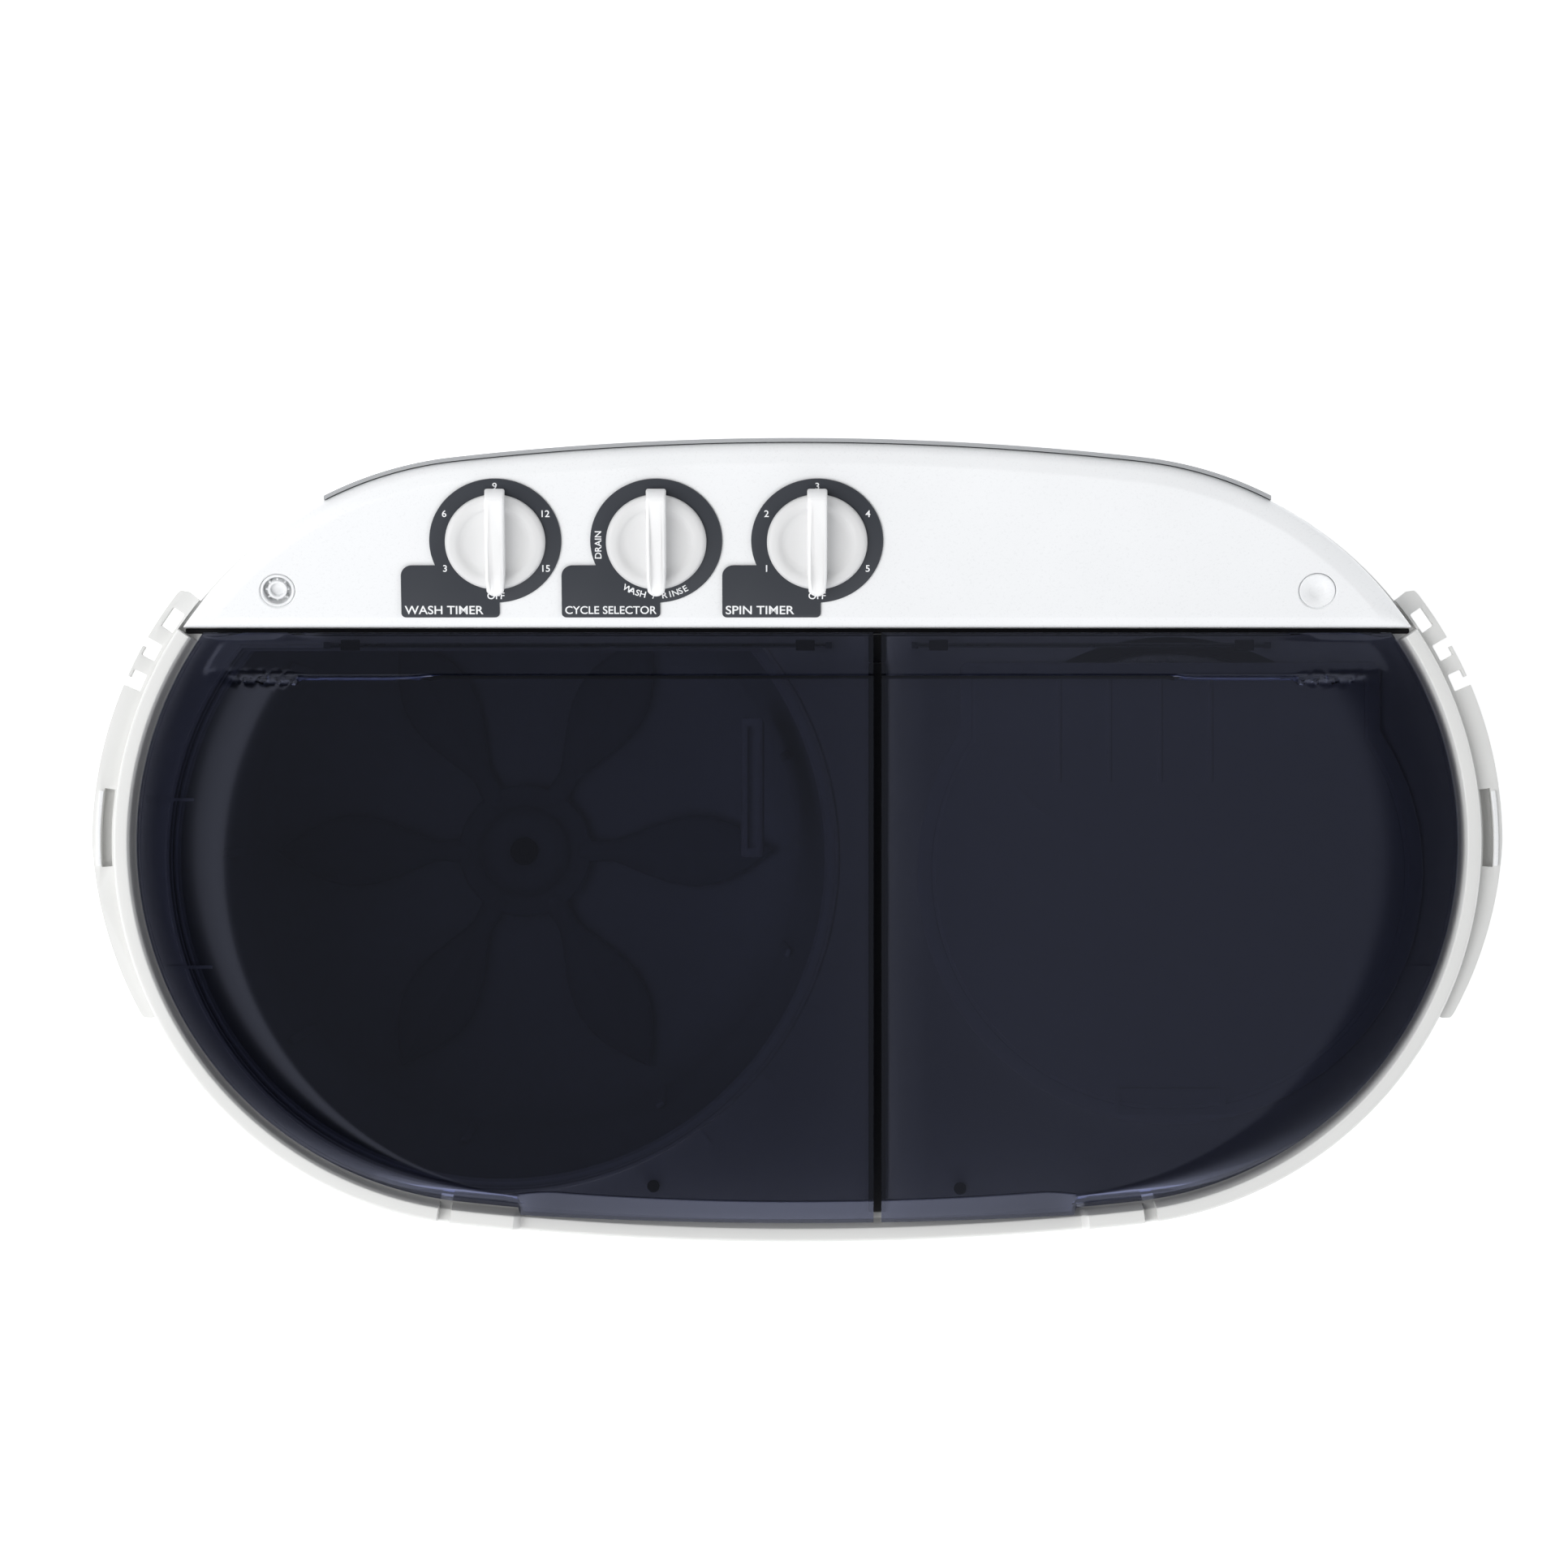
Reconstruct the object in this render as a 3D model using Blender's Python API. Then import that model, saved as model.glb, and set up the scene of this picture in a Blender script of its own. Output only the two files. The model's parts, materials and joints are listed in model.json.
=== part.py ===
"""Twin tub washing machine: a wash tub and a spin dryer side by side in one oval cabinet.

Metres, +Z up, +X to the user's right, the front towards -Y. The origin is on the
floor, under the middle of the machine.
"""
import math

import bmesh
import bpy
from mathutils import Matrix, Vector

# Outline of the machine seen from above: an oval of four tangent arcs.
END_CENTRE = 0.191
END_RADIUS = 0.245
HALF_DEPTH = 0.2555
SIDE_RADIUS = (END_CENTRE**2 + HALF_DEPTH**2 - END_RADIUS**2) / (2 * (HALF_DEPTH - END_RADIUS))
SIDE_CENTRE = SIDE_RADIUS - HALF_DEPTH
END_SWEEP = math.pi / 2 - math.atan2(END_CENTRE, SIDE_CENTRE)

# Heights
FOOT_TOP = 0.018
BASE_TOP = 0.110
SHELL_TOP = 0.880
DECK_FLOOR = 0.930
LEDGE_TOP = 0.938
RIM_TOP = 0.950
LID_EDGE = 0.9435
LID_TOP = 0.9565
PANEL_FRONT_TOP = 0.962

# Clearances and walls
GAP = 0.0003
WALL = 0.003
FLOOR = 0.004

# Insets from the outline
BASE_INSET = 0.018
SHELL_FOOT_INSET = 0.016
SHELL_TOP_INSET = 0.006
RIM_WIDTH = 0.009
RIM_FOOT = 0.0135
LID_INSET = 0.0145

# Control panel
PANEL_FRONT = 0.1367
PANEL_TILT = math.radians(22)
PANEL_INSET = 0.003
DIAL_Y = 0.1913
DIAL_X = (-0.1913, -0.0894, 0.0125)
DIAL_RADIUS = 0.0418
DIAL_THICKNESS = 0.0015
KNOB_RADIUS = 0.0318
KNOB_HEIGHT = 0.022
STEM_RADIUS = 0.004
INLET_X = 0.330
INLET_Y = 0.1595

# Wash side
WASH_CENTRE = Vector((-0.1885, -0.0096, 0.0))
WASH_RADIUS = 0.206
WASH_OPENING = 0.211
WASH_FLOOR = 0.420
WASH_CUT = 0.122
PULSATOR_RADIUS = 0.173
PULSATOR_BOTTOM = 0.432
PETALS = 6
PETAL_START = 0.060
PETAL_ROOT = (0.038, 0.009)
GEAR_BOTTOM = 0.3343
PULLEY_Z = 0.295
MOTOR_CENTRE = Vector((-0.040, -0.0096, 0.0))
WASH_MOTOR_TOP = 0.405
DRIVE_PULLEY_RADIUS = 0.060
MOTOR_PULLEY_RADIUS = 0.024
GROOVE_DEPTH = 0.006
BELT_SLACK = 0.0012
BELT_THICKNESS = 0.0045

# Spin side
SPIN_CENTRE = Vector((0.238, -0.019, 0.0))
SPIN_TUB_RADIUS = 0.166
SPIN_OPENING = 0.150
SPIN_FLOOR = 0.430
BASKET_RADIUS = 0.142
BASKET_BOTTOM = 0.470
BASKET_TOP = 0.905
DRUM_RADIUS = 0.045
DRUM_BOTTOM = 0.265
DRUM_TOP = 0.285
SPIN_MOTOR_BOTTOM = 0.113
SPIN_MOTOR_TOP = 0.255
MOTOR_PLATE = 0.007
LEVER_PIVOT = Vector((0.300, -0.075, 0.0))

# Lids
LID_SPLIT = 0.051
LID_SPLIT_GAP = 0.0025
LID_REAR = 0.1335
LID_STEP = 0.106
LID_STEP_DROP = 0.0065
LID_THICKNESS = 0.0025
LID_FLAT = 0.305
LIP_END = 0.178
LIP_WIDTH = 0.012
HINGE_Y = 0.1255
HINGE_Z = 0.944
ROD_RADIUS = 0.0015
ROD_FOOT_HALF = 0.0020
ROD_FOOT_TOP = 0.0025
WASH_ROD = (-0.300, 0.020)
SPIN_ROD = (0.075, 0.300)
KNUCKLE_HALF = 0.006
KNUCKLE_DEPTH = 0.0035
WASH_KNUCKLES = (-0.285, 0.005)
SPIN_KNUCKLES = (0.090, 0.285)
INNER_HINGE_Y = 0.1095
INNER_HINGE_Z = 0.9375
INNER_RADIUS = 0.1615
INNER_REAR = 0.1145
INNER_HALF = 0.134
INNER_LOW = 0.9325
INNER_TOP = 0.9370
INNER_RIB_TOP = 0.9385
INNER_RIBS = 4
INNER_RIB_SPACING = 0.0323
CREASE_CENTRE = Vector((0.150, -0.018))
CREASE_RADIUS = 0.208

# Cabinet details
COVER_HALF = 0.190
COVER_LOW = 0.160
COVER_HIGH = 0.700
GLAND_X = -0.130
GLAND_Z = 0.780
OUTLET_X = 0.100
OUTLET_Z = 0.065
BACK_HALF = 0.300
INLET_HOLE = 0.0112
PLUG_HOLE = 0.0117
SPOUT_X = -0.200
SPOUT_Y = 0.1560

# Front ledge, notches and side grips
LEDGE_LEFT = -0.177
LEDGE_RIGHT = 0.182
NOTCH_X = 0.226
GRIP_RADIUS = 0.2592
GRIP_NARROW = 0.2525
GRIP_START = 39.0
GRIP_END = -27.0
GRIP_LOW = 0.926
GRIP_TOP = 0.940
# Angle, radius, radial width, tangential width and the side of the mouth of each opening in a grip
GRIP_OPENINGS = ((34.3, 0.2513, 0.0088, 0.0143, 0), (29.0, 0.2526, 0.0092, 0.0115, 1),
                 (24.1, 0.2526, 0.0092, 0.0115, -1))
POCKET_START = -4.5
POCKET_END = 8.5

# Drain, between the two tubs
DRAIN_CENTRE = Vector((0.043, 0.090, 0.0))
OVERFLOW_CENTRE = Vector((0.043, -0.070, 0.0))


def linear(channel):
    """One sRGB channel, 0 to 1, as a linear value."""
    return channel / 12.92 if channel <= 0.04045 else ((channel + 0.055) / 1.055) ** 2.4


def make_material(name, hex_code, roughness, metallic=0.0):
    """A plain finish for one kind of part."""
    channels = [linear(int(hex_code[i:i + 2], 16) / 255) for i in (0, 2, 4)]
    material = bpy.data.materials.new(name)
    material.use_nodes = True
    shader = material.node_tree.nodes["Principled BSDF"]
    shader.inputs["Base Color"].default_value = (*channels, 1.0)
    shader.inputs["Roughness"].default_value = roughness
    shader.inputs["Metallic"].default_value = metallic
    return material


def clear_scene():
    """Removes every object that is there already."""
    for obj in list(bpy.data.objects):
        bpy.data.objects.remove(obj, do_unlink=True)


def add_part(name, bm, material, location=(0, 0, 0), tilt=0.0):
    """Turns a bmesh, made about its own origin, into a named part."""
    bmesh.ops.recalc_face_normals(bm, faces=bm.faces)
    mesh = bpy.data.meshes.new(name)
    bm.to_mesh(mesh)
    bm.free()
    mesh.shade_smooth()
    mesh.set_sharp_from_angle(angle=math.radians(35))
    obj = bpy.data.objects.new(name, mesh)
    bpy.context.collection.objects.link(obj)
    obj.location = location
    obj.rotation_euler.x = tilt
    if material:
        mesh.materials.append(material)
    return obj


def add_boolean(target, bm, operation, location=(0, 0, 0), tilt=0.0):
    """Cuts, joins or clips a part with a hidden tool shape."""
    tool = add_part(f"{target.name}_tool_{len(target.modifiers)}", bm, None, location, tilt)
    tool.hide_render = True
    tool.display_type = "WIRE"
    modifier = target.modifiers.new(tool.name, "BOOLEAN")
    modifier.operation = operation
    modifier.object = tool


def cut(target, bm, location=(0, 0, 0), tilt=0.0):
    """Takes a shape out of a part."""
    add_boolean(target, bm, "DIFFERENCE", location, tilt)


def fuse(target, bm, location=(0, 0, 0), tilt=0.0):
    """Adds a shape to a part."""
    add_boolean(target, bm, "UNION", location, tilt)


def oval(inset=0.0, end_steps=14, side_steps=4):
    """The machine's outline, moved inwards, anticlockwise from the front right."""
    points = []
    for turn in (0.0, math.pi):
        for i in range(end_steps + 1):
            angle = turn - END_SWEEP + 2 * END_SWEEP * i / end_steps
            points.append((math.cos(turn) * END_CENTRE + (END_RADIUS - inset) * math.cos(angle),
                           (END_RADIUS - inset) * math.sin(angle)))
        half = math.pi / 2 - END_SWEEP
        for i in range(1, side_steps):
            angle = turn + math.pi / 2 - half + 2 * half * i / side_steps
            points.append(((SIDE_RADIUS - inset) * math.cos(angle),
                           (SIDE_RADIUS - inset) * math.sin(angle) - math.cos(turn) * SIDE_CENTRE))
    return points


def circle(radius, steps=32, centre=(0, 0)):
    """Points of a circle, anticlockwise."""
    turns = [2 * math.pi * i / steps for i in range(steps)]
    return [(centre[0] + radius * math.cos(a), centre[1] + radius * math.sin(a)) for a in turns]


def arc(radius, start, end, steps, centre=(0, 0)):
    """Points of an arc between two angles in degrees, both ends included."""
    angles = [math.radians(start + (end - start) * i / steps) for i in range(steps + 1)]
    return [(centre[0] + radius * math.cos(a), centre[1] + radius * math.sin(a)) for a in angles]


def rectangle(x0, x1, y0, y1):
    """Corner points of a rectangle, anticlockwise."""
    return [(x0, y0), (x1, y0), (x1, y1), (x0, y1)]


def rounded_rectangle(x0, x1, y0, y1, radius, steps=4):
    """Points of a rectangle with round corners, anticlockwise."""
    corners = ((x1 - radius, y0 + radius, -90), (x1 - radius, y1 - radius, 0),
               (x0 + radius, y1 - radius, 90), (x0 + radius, y0 + radius, 180))
    points = []
    for x, y, start in corners:
        points += arc(radius, start, start + 90, steps, (x, y))
    return points


def loft(rings, bm=None):
    """A solid through rings of (x, y, z) points, capped at both ends."""
    bm = bm or bmesh.new()
    loops = [[bm.verts.new(point) for point in ring] for ring in rings]
    count = len(loops[0])
    for lower, upper in zip(loops, loops[1:]):
        for i in range(count):
            j = (i + 1) % count
            bm.faces.new((lower[i], lower[j], upper[j], upper[i]))
    bm.faces.new(list(reversed(loops[0])))
    bm.faces.new(loops[-1])
    return bm


def prism(points, z0, z1, bm=None):
    """A flat outline extruded between two heights."""
    return loft([[(x, y, z) for x, y in points] for z in (z0, z1)], bm)


def tube_ring(points_outer, points_inner, z0, z1):
    """An outline with a hole of the same number of points, extruded between two heights."""
    bm = bmesh.new()
    rings = ((points_outer, z0), (points_outer, z1), (points_inner, z1), (points_inner, z0))
    loops = [[bm.verts.new((x, y, z)) for x, y in points] for points, z in rings]
    count = len(points_outer)
    for k in range(4):
        this, following = loops[k], loops[(k + 1) % 4]
        for i in range(count):
            j = (i + 1) % count
            bm.faces.new((this[i], this[j], following[j], following[i]))
    return bm


def box(x0, x1, y0, y1, z0, z1, bm=None):
    """A box between its limits."""
    return prism(rectangle(x0, x1, y0, y1), z0, z1, bm)


def turned(profile, steps=32):
    """A closed (radius, z) profile turned about Z; a point of radius 0 is on the axis."""
    bm = bmesh.new()
    verts = [bm.verts.new((radius, 0, z)) for radius, z in profile]
    count = len(verts)
    edges = [bm.edges.new((verts[i], verts[(i + 1) % count])) for i in range(count)
             if profile[i][0] > 0 or profile[(i + 1) % count][0] > 0]
    bmesh.ops.spin(bm, geom=verts + edges, cent=(0, 0, 0), axis=(0, 0, 1),
                   angle=2 * math.pi, steps=steps, use_merge=True)
    bmesh.ops.remove_doubles(bm, verts=bm.verts, dist=1e-6)
    return bm


def rod(radius, z0, z1, steps=16):
    """A cylinder along Z."""
    return prism(circle(radius, steps), z0, z1)


def slice_off(bm, point, normal):
    """Removes what lies on the normal's side of a plane and closes the cut."""
    geometry = bm.verts[:] + bm.edges[:] + bm.faces[:]
    found = bmesh.ops.bisect_plane(bm, geom=geometry, dist=1e-7, plane_co=point,
                                   plane_no=normal, clear_outer=True)
    edges = [item for item in found["geom_cut"] if isinstance(item, bmesh.types.BMEdge)]
    bmesh.ops.edgeloop_fill(bm, edges=edges)
    return bm


def panel_height(y):
    """Height of the control panel's sloping face at a depth."""
    return PANEL_FRONT_TOP + (y - PANEL_FRONT) * math.tan(PANEL_TILT)


def on_panel(x, y):
    """The point of the sloping face above a place in plan."""
    return (x, y, panel_height(y))


def side_back(x, inset):
    """Depth of the outline's rear arc at a distance from the middle."""
    return math.sqrt((SIDE_RADIUS - inset) ** 2 - x**2) - SIDE_CENTRE


def build_base(dark, rubber):
    """The stand: an open tray on four feet."""
    base = add_part("base_stand", prism(oval(BASE_INSET), FOOT_TOP + GAP, BASE_TOP), dark)
    cut(base, prism(oval(BASE_INSET + FLOOR), FOOT_TOP + FLOOR, BASE_TOP + FLOOR))
    cut(base, turned([(0, -0.02), (0.0165, -0.02), (0.0165, 0.02), (0, 0.02)], 20),
        (OUTLET_X, side_back(OUTLET_X, BASE_INSET), OUTLET_Z), math.pi / 2)
    spots = [(x, y) for y in (-0.150, 0.150) for x in (-0.300, 0.300)]
    names = ("foot_front_left", "foot_front_right", "foot_rear_left", "foot_rear_right")
    for name, (x, y) in zip(names, spots):
        profile = [(0, 0), (0.020, 0), (0.024, 0.004), (0.022, FOOT_TOP), (0, FOOT_TOP)]
        add_part(name, turned(profile, 20), rubber, (x, y, 0))


def shell_ring(z, offset):
    """The cabinet's tapering outline at a height, moved inwards by an offset."""
    share = (z - BASE_TOP) / (SHELL_TOP - BASE_TOP)
    inset = SHELL_FOOT_INSET + (SHELL_TOP_INSET - SHELL_FOOT_INSET) * share + offset
    return [(x, y, z) for x, y in oval(inset)]


def build_cabinet(white, grey, dark):
    """The cabinet shell, its rear service cover and the gland of the supply cord."""
    low, high = BASE_TOP + GAP, SHELL_TOP - GAP
    shell = add_part("cabinet_shell", loft([shell_ring(low, 0), shell_ring(high, 0)]), white)
    below, above = low - FLOOR, high + FLOOR
    cut(shell, loft([shell_ring(below, WALL), shell_ring(above, WALL)]))
    cut(shell, box(-COVER_HALF + 0.015, COVER_HALF - 0.015, 0.18, 0.28,
                   COVER_LOW + 0.015, COVER_HIGH - 0.015))
    cut(shell, turned([(0, -0.02), (0.0082, -0.02), (0.0082, 0.02), (0, 0.02)], 16),
        (GLAND_X, side_back(GLAND_X, SHELL_TOP_INSET), GLAND_Z), math.pi / 2)

    cover_bm = loft([shell_ring(COVER_LOW, -0.0028), shell_ring(COVER_HIGH, -0.0028)])
    for point, normal in (((-COVER_HALF, 0, 0), (-1, 0, 0)), ((COVER_HALF, 0, 0), (1, 0, 0)),
                          ((0, 0.18, 0), (0, -1, 0))):
        slice_off(cover_bm, point, normal)
    cover = add_part("rear_cover", cover_bm, grey)
    cut(cover, loft([shell_ring(COVER_LOW - 0.01, -0.0006), shell_ring(COVER_HIGH + 0.01, -0.0006)]))

    share = (GLAND_Z - BASE_TOP) / (SHELL_TOP - BASE_TOP)
    inset = SHELL_FOOT_INSET + (SHELL_TOP_INSET - SHELL_FOOT_INSET) * share
    profile = [(0.0035, -0.010), (0.0035, 0.010), (0.0078, 0.010), (0.0078, 0.0004),
               (0.0110, 0.0004), (0.0095, -0.0052), (0.0055, -0.010)]
    add_part("cord_gland", turned(profile, 16), dark,
             (GLAND_X, side_back(GLAND_X, inset) + 0.0010, GLAND_Z), math.pi / 2)


def build_deck(white, black):
    """The top deck with its raised rim, ledges and the two tub openings."""
    deck = add_part("top_deck", prism(oval(), SHELL_TOP, RIM_TOP), white)
    recess = [[(x, y, z) for x, y in oval(inset)]
              for z, inset in ((DECK_FLOOR, RIM_FOOT), (RIM_TOP, RIM_WIDTH), (RIM_TOP + 0.01, RIM_WIDTH))]
    cut(deck, loft(recess))
    cut(deck, box(-0.5, 0.5, PANEL_FRONT - GAP, 0.3, DECK_FLOOR, RIM_TOP + 0.01))
    cut(deck, prism(oval(FLOOR), SHELL_TOP - 0.01, DECK_FLOOR - FLOOR))
    opening = slice_off(prism(circle(WASH_OPENING, 48), -0.01, 0.02),
                        (0, WASH_CUT - WASH_CENTRE.y, 0), (0, 1, 0))
    cut(deck, opening, WASH_CENTRE + Vector((0, 0, DECK_FLOOR - FLOOR)))
    cut(deck, prism(circle(SPIN_OPENING, 40), -0.01, 0.02), SPIN_CENTRE + Vector((0, 0, DECK_FLOOR - FLOOR)))
    cut(deck, prism(circle(0.0125, 16), -0.01, 0.02), (SPOUT_X, SPOUT_Y, DECK_FLOOR - FLOOR))
    cut(deck, box(LEDGE_LEFT, LEDGE_RIGHT, -0.27, -0.22, LEDGE_TOP, RIM_TOP + 0.01))
    for x in (-NOTCH_X, NOTCH_X):
        cut(deck, box(x - 0.004, x + 0.004, -0.27, -0.22, LEDGE_TOP, RIM_TOP + 0.01))

    for name, x, y in (("bumper_wash", -0.092, -0.220), ("bumper_spin", 0.104, -0.2215)):
        profile = [(0, 0), (0.004, 0), (0.004, 0.0035), (0.0028, 0.0046), (0, 0.0046)]
        add_part(name, turned(profile, 12), black, (x, y, DECK_FLOOR + GAP))


def grip_edge(angle):
    """Outer radius of the side grip at an angle in degrees, from the outline's end centre."""
    if angle >= 0:
        return GRIP_RADIUS
    return GRIP_RADIUS - (GRIP_RADIUS - GRIP_NARROW) * angle / GRIP_END


def build_grips(white):
    """Side grips with a square hole and a hook for the cord, one on each side."""
    inner = END_RADIUS + GAP
    steps = 16
    for name, side in (("side_grip_left", -1), ("side_grip_right", 1)):
        angles = [GRIP_END + (GRIP_START - GRIP_END) * i / steps for i in range(steps + 1)]
        outline = arc(inner, GRIP_START, GRIP_END, steps)
        for i, angle in enumerate(angles):
            radius = grip_edge(angle) - (0.006 if i in (0, steps) else 0)
            turn = math.radians(angle)
            outline.append((radius * math.cos(turn), radius * math.sin(turn)))
        outline = [(side * (x + END_CENTRE), y) for x, y in outline]
        grip = add_part(name, prism(outline, GRIP_LOW, GRIP_TOP), white)
        for angle, radius, wide, tall, mouth_side in GRIP_OPENINGS:
            turn = math.radians(angle)
            tool = box(-wide / 2, wide / 2, -tall / 2, tall / 2, -0.03, 0.03)
            bmesh.ops.rotate(tool, verts=tool.verts, cent=(0, 0, 0),
                             matrix=Matrix.Rotation(side * turn, 3, "Z"))
            centre = (side * (END_CENTRE + radius * math.cos(turn)), radius * math.sin(turn), GRIP_TOP)
            cut(grip, tool, centre)
            if mouth_side:
                mouth = box(0, 0.012, -0.003, 0.003, -0.03, 0.03)
                bmesh.ops.translate(mouth, verts=mouth.verts, vec=(0, 0.0028 * mouth_side, 0))
                if side < 0:
                    bmesh.ops.scale(mouth, verts=mouth.verts, vec=(-1, 1, 1))
                bmesh.ops.rotate(mouth, verts=mouth.verts, cent=(0, 0, 0),
                                 matrix=Matrix.Rotation(side * turn, 3, "Z"))
                cut(grip, mouth, centre)
        pocket = (arc(inner + 0.0028, POCKET_END, POCKET_START, 6)
                  + arc(GRIP_RADIUS - 0.0040, POCKET_START, POCKET_END, 6))
        pocket = [(side * (x + END_CENTRE), y) for x, y in pocket]
        cut(grip, prism(pocket, GRIP_LOW + 0.002, GRIP_TOP + 0.02))


def build_panel(white, grey):
    """The sloping control panel and the cover behind it."""
    def region(inset, front, drop, low):
        """The stretch of the outline behind a line, under the sloping face."""
        bm = prism(oval(inset), low, 1.1)
        slice_off(bm, (0, front, 0), (0, -1, 0))
        normal = Vector((0, -math.sin(PANEL_TILT), math.cos(PANEL_TILT)))
        slice_off(bm, Vector(on_panel(0, PANEL_FRONT)) - normal * drop, normal)
        return bm

    panel = add_part("control_panel", region(PANEL_INSET, PANEL_FRONT, 0, DECK_FLOOR + GAP), white)
    cut(panel, region(PANEL_INSET + WALL, PANEL_FRONT + WALL, WALL, DECK_FLOOR - 0.01))
    for x in DIAL_X:
        cut(panel, rod(STEM_RADIUS + 0.001, -0.01, 0.01), on_panel(x, DIAL_Y), PANEL_TILT)
    cut(panel, rod(INLET_HOLE, -0.01, 0.01, 24), on_panel(-INLET_X, INLET_Y), PANEL_TILT)
    cut(panel, rod(PLUG_HOLE, -0.01, 0.01, 24), on_panel(INLET_X, INLET_Y), PANEL_TILT)

    back_bm = region(0, 0.15, 0.004, DECK_FLOOR + GAP)
    for side in (-1, 1):
        slice_off(back_bm, (side * BACK_HALF, 0, 0), (side, 0, 0))
    back = add_part("panel_back_cover", back_bm, grey)
    cut(back, prism(oval(PANEL_INSET - GAP), DECK_FLOOR - 0.01, 1.1))


def build_inlets(white, grey):
    """The water inlet at the left of the panel, the plug at the right and the channel below."""
    socket = [(0.0035, -0.0110), (INLET_HOLE - GAP, -0.0110), (INLET_HOLE - GAP, 0.0),
              (INLET_HOLE - 0.0018, 0.0), (INLET_HOLE - 0.0018, -0.0085), (0.0062, -0.0085),
              (0.0062, -0.0015), (0.0045, -0.0015), (0.0045, -0.0085), (0.0035, -0.0085)]
    add_part("water_inlet", turned(socket, 16), white, on_panel(-INLET_X, INLET_Y), PANEL_TILT)
    plug = [(0, -0.006), (PLUG_HOLE - GAP, -0.006), (PLUG_HOLE - GAP, 0.0004),
            (0.0045, -0.0018), (0, -0.0018)]
    add_part("inlet_plug", turned(plug, 20), white, on_panel(INLET_X, INLET_Y), PANEL_TILT)

    channel = box(-INLET_X - 0.012, SPOUT_X + 0.016, SPOUT_Y - 0.014, SPOUT_Y + 0.014,
                  DECK_FLOOR + GAP, DECK_FLOOR + 0.013)
    channel = add_part("water_channel", channel, grey)
    fuse(channel, rod(0.0115, DECK_FLOOR - 0.015, DECK_FLOOR + 0.005), (SPOUT_X, SPOUT_Y, 0))
    cut(channel, box(-INLET_X - 0.010, SPOUT_X + 0.014, SPOUT_Y - 0.012, SPOUT_Y + 0.012,
                     DECK_FLOOR + 0.002, DECK_FLOOR + 0.03))
    cut(channel, rod(0.009, DECK_FLOOR - 0.02, DECK_FLOOR + 0.006), (SPOUT_X, SPOUT_Y, 0))


def build_dial(name, x, dark):
    """A printed plate with a round dial and a label flag, lying on the sloping face."""
    plate = add_part(name, rod(DIAL_RADIUS, GAP, DIAL_THICKNESS, 36), dark,
                     on_panel(x, DIAL_Y), PANEL_TILT)
    flag = prism(rounded_rectangle(-0.0602, 0.0023, -0.0519, -0.0167, 0.003), GAP, DIAL_THICKNESS)
    fuse(plate, flag, plate.location, PANEL_TILT)
    cut(plate, rod(STEM_RADIUS + 0.001, -0.01, 0.01), plate.location, PANEL_TILT)


def build_knob(name, x, white):
    """A control knob: a dished skirt, a pointer bar to grip and a stem through the panel."""
    low = DIAL_THICKNESS + GAP
    skirt = [(0, low), (KNOB_RADIUS, low), (KNOB_RADIUS, 0.0045), (0.0300, 0.0070), (0.0245, 0.0072),
             (0.0225, 0.0052), (0.0185, 0.0044), (0, 0.0044)]
    knob = add_part(name, turned(skirt, 28), white, on_panel(x, DIAL_Y), PANEL_TILT)
    half, corner = 0.0064, 0.003
    outline = arc(corner, 200, 340, 5, (0, -0.030)) + [(half, -0.019)]
    outline += arc(corner, 0, 90, 3, (half - corner, 0.033))
    outline += arc(corner, 90, 180, 3, (corner - half, 0.033)) + [(-half, -0.019)]
    fuse(knob, prism(outline, 0.0035, KNOB_HEIGHT), knob.location, PANEL_TILT)
    fuse(knob, rod(STEM_RADIUS, -0.0028, 0.0035), knob.location, PANEL_TILT)


def build_switches(dark):
    """The two clockwork timers and the base of the cycle selector, under the panel."""
    for name, x in (("wash_timer", DIAL_X[0]), ("spin_timer", DIAL_X[2])):
        case = prism(rounded_rectangle(-0.023, 0.023, -0.023, 0.023, 0.004, 2), -0.031, -WALL - GAP)
        add_part(name, case, dark, on_panel(x, DIAL_Y), PANEL_TILT)
    base = [(0, -0.021), (0.016, -0.021), (0.018, -0.016), (0.018, -WALL - GAP), (0, -WALL - GAP)]
    add_part("selector_base", turned(base, 24), dark, on_panel(DIAL_X[1], DIAL_Y), PANEL_TILT)


def lid_outline(split, inset):
    """Edge of a lid, drawn for the right side, from the front corner at the split to the rear one."""
    radius = END_RADIUS - inset
    rear = LID_REAR - (inset - LID_INSET)
    end = arc(radius, -math.degrees(END_SWEEP), math.degrees(math.asin(rear / radius)), 22,
              (END_CENTRE, 0))
    xs = [split + (end[0][0] - split) * i / 6 for i in range(6)]
    return [(x, -side_back(x, inset)) for x in xs] + end + [(LID_FLAT, rear), (split, rear)]


def lid_crease(point, split):
    """Where the flat top of a lid starts, inwards from a point of its edge."""
    x, y = point
    if y > LID_STEP and x < LID_FLAT + 0.001:
        return point
    if x < LIP_END:
        return (x, y + LIP_WIDTH)
    away = Vector(point) - CREASE_CENTRE
    flat = CREASE_CENTRE + away * min(1.0, CREASE_RADIUS / away.length)
    return (flat.x, flat.y)


def lid_solid(side, split, shrink):
    """The outer or, shrunk, the inner form of a lid."""
    outline = lid_outline(split + shrink, LID_INSET + shrink)
    crease = [lid_crease(point, split) for point in outline]
    low = LID_EDGE if shrink == 0 else LID_EDGE - 0.01
    rings = [[(side * x, y, low) for x, y in outline],
             [(side * x, y, LID_EDGE + 0.003 - shrink) for x, y in outline],
             [(side * x, y, LID_TOP - shrink) for x, y in crease]]
    bm = loft(rings)
    bmesh.ops.triangulate(bm, faces=bm.faces)
    return bm


def shifted(bm, offset):
    """The same mesh, moved."""
    bmesh.ops.translate(bm, verts=bm.verts, vec=offset)
    return bm


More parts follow.
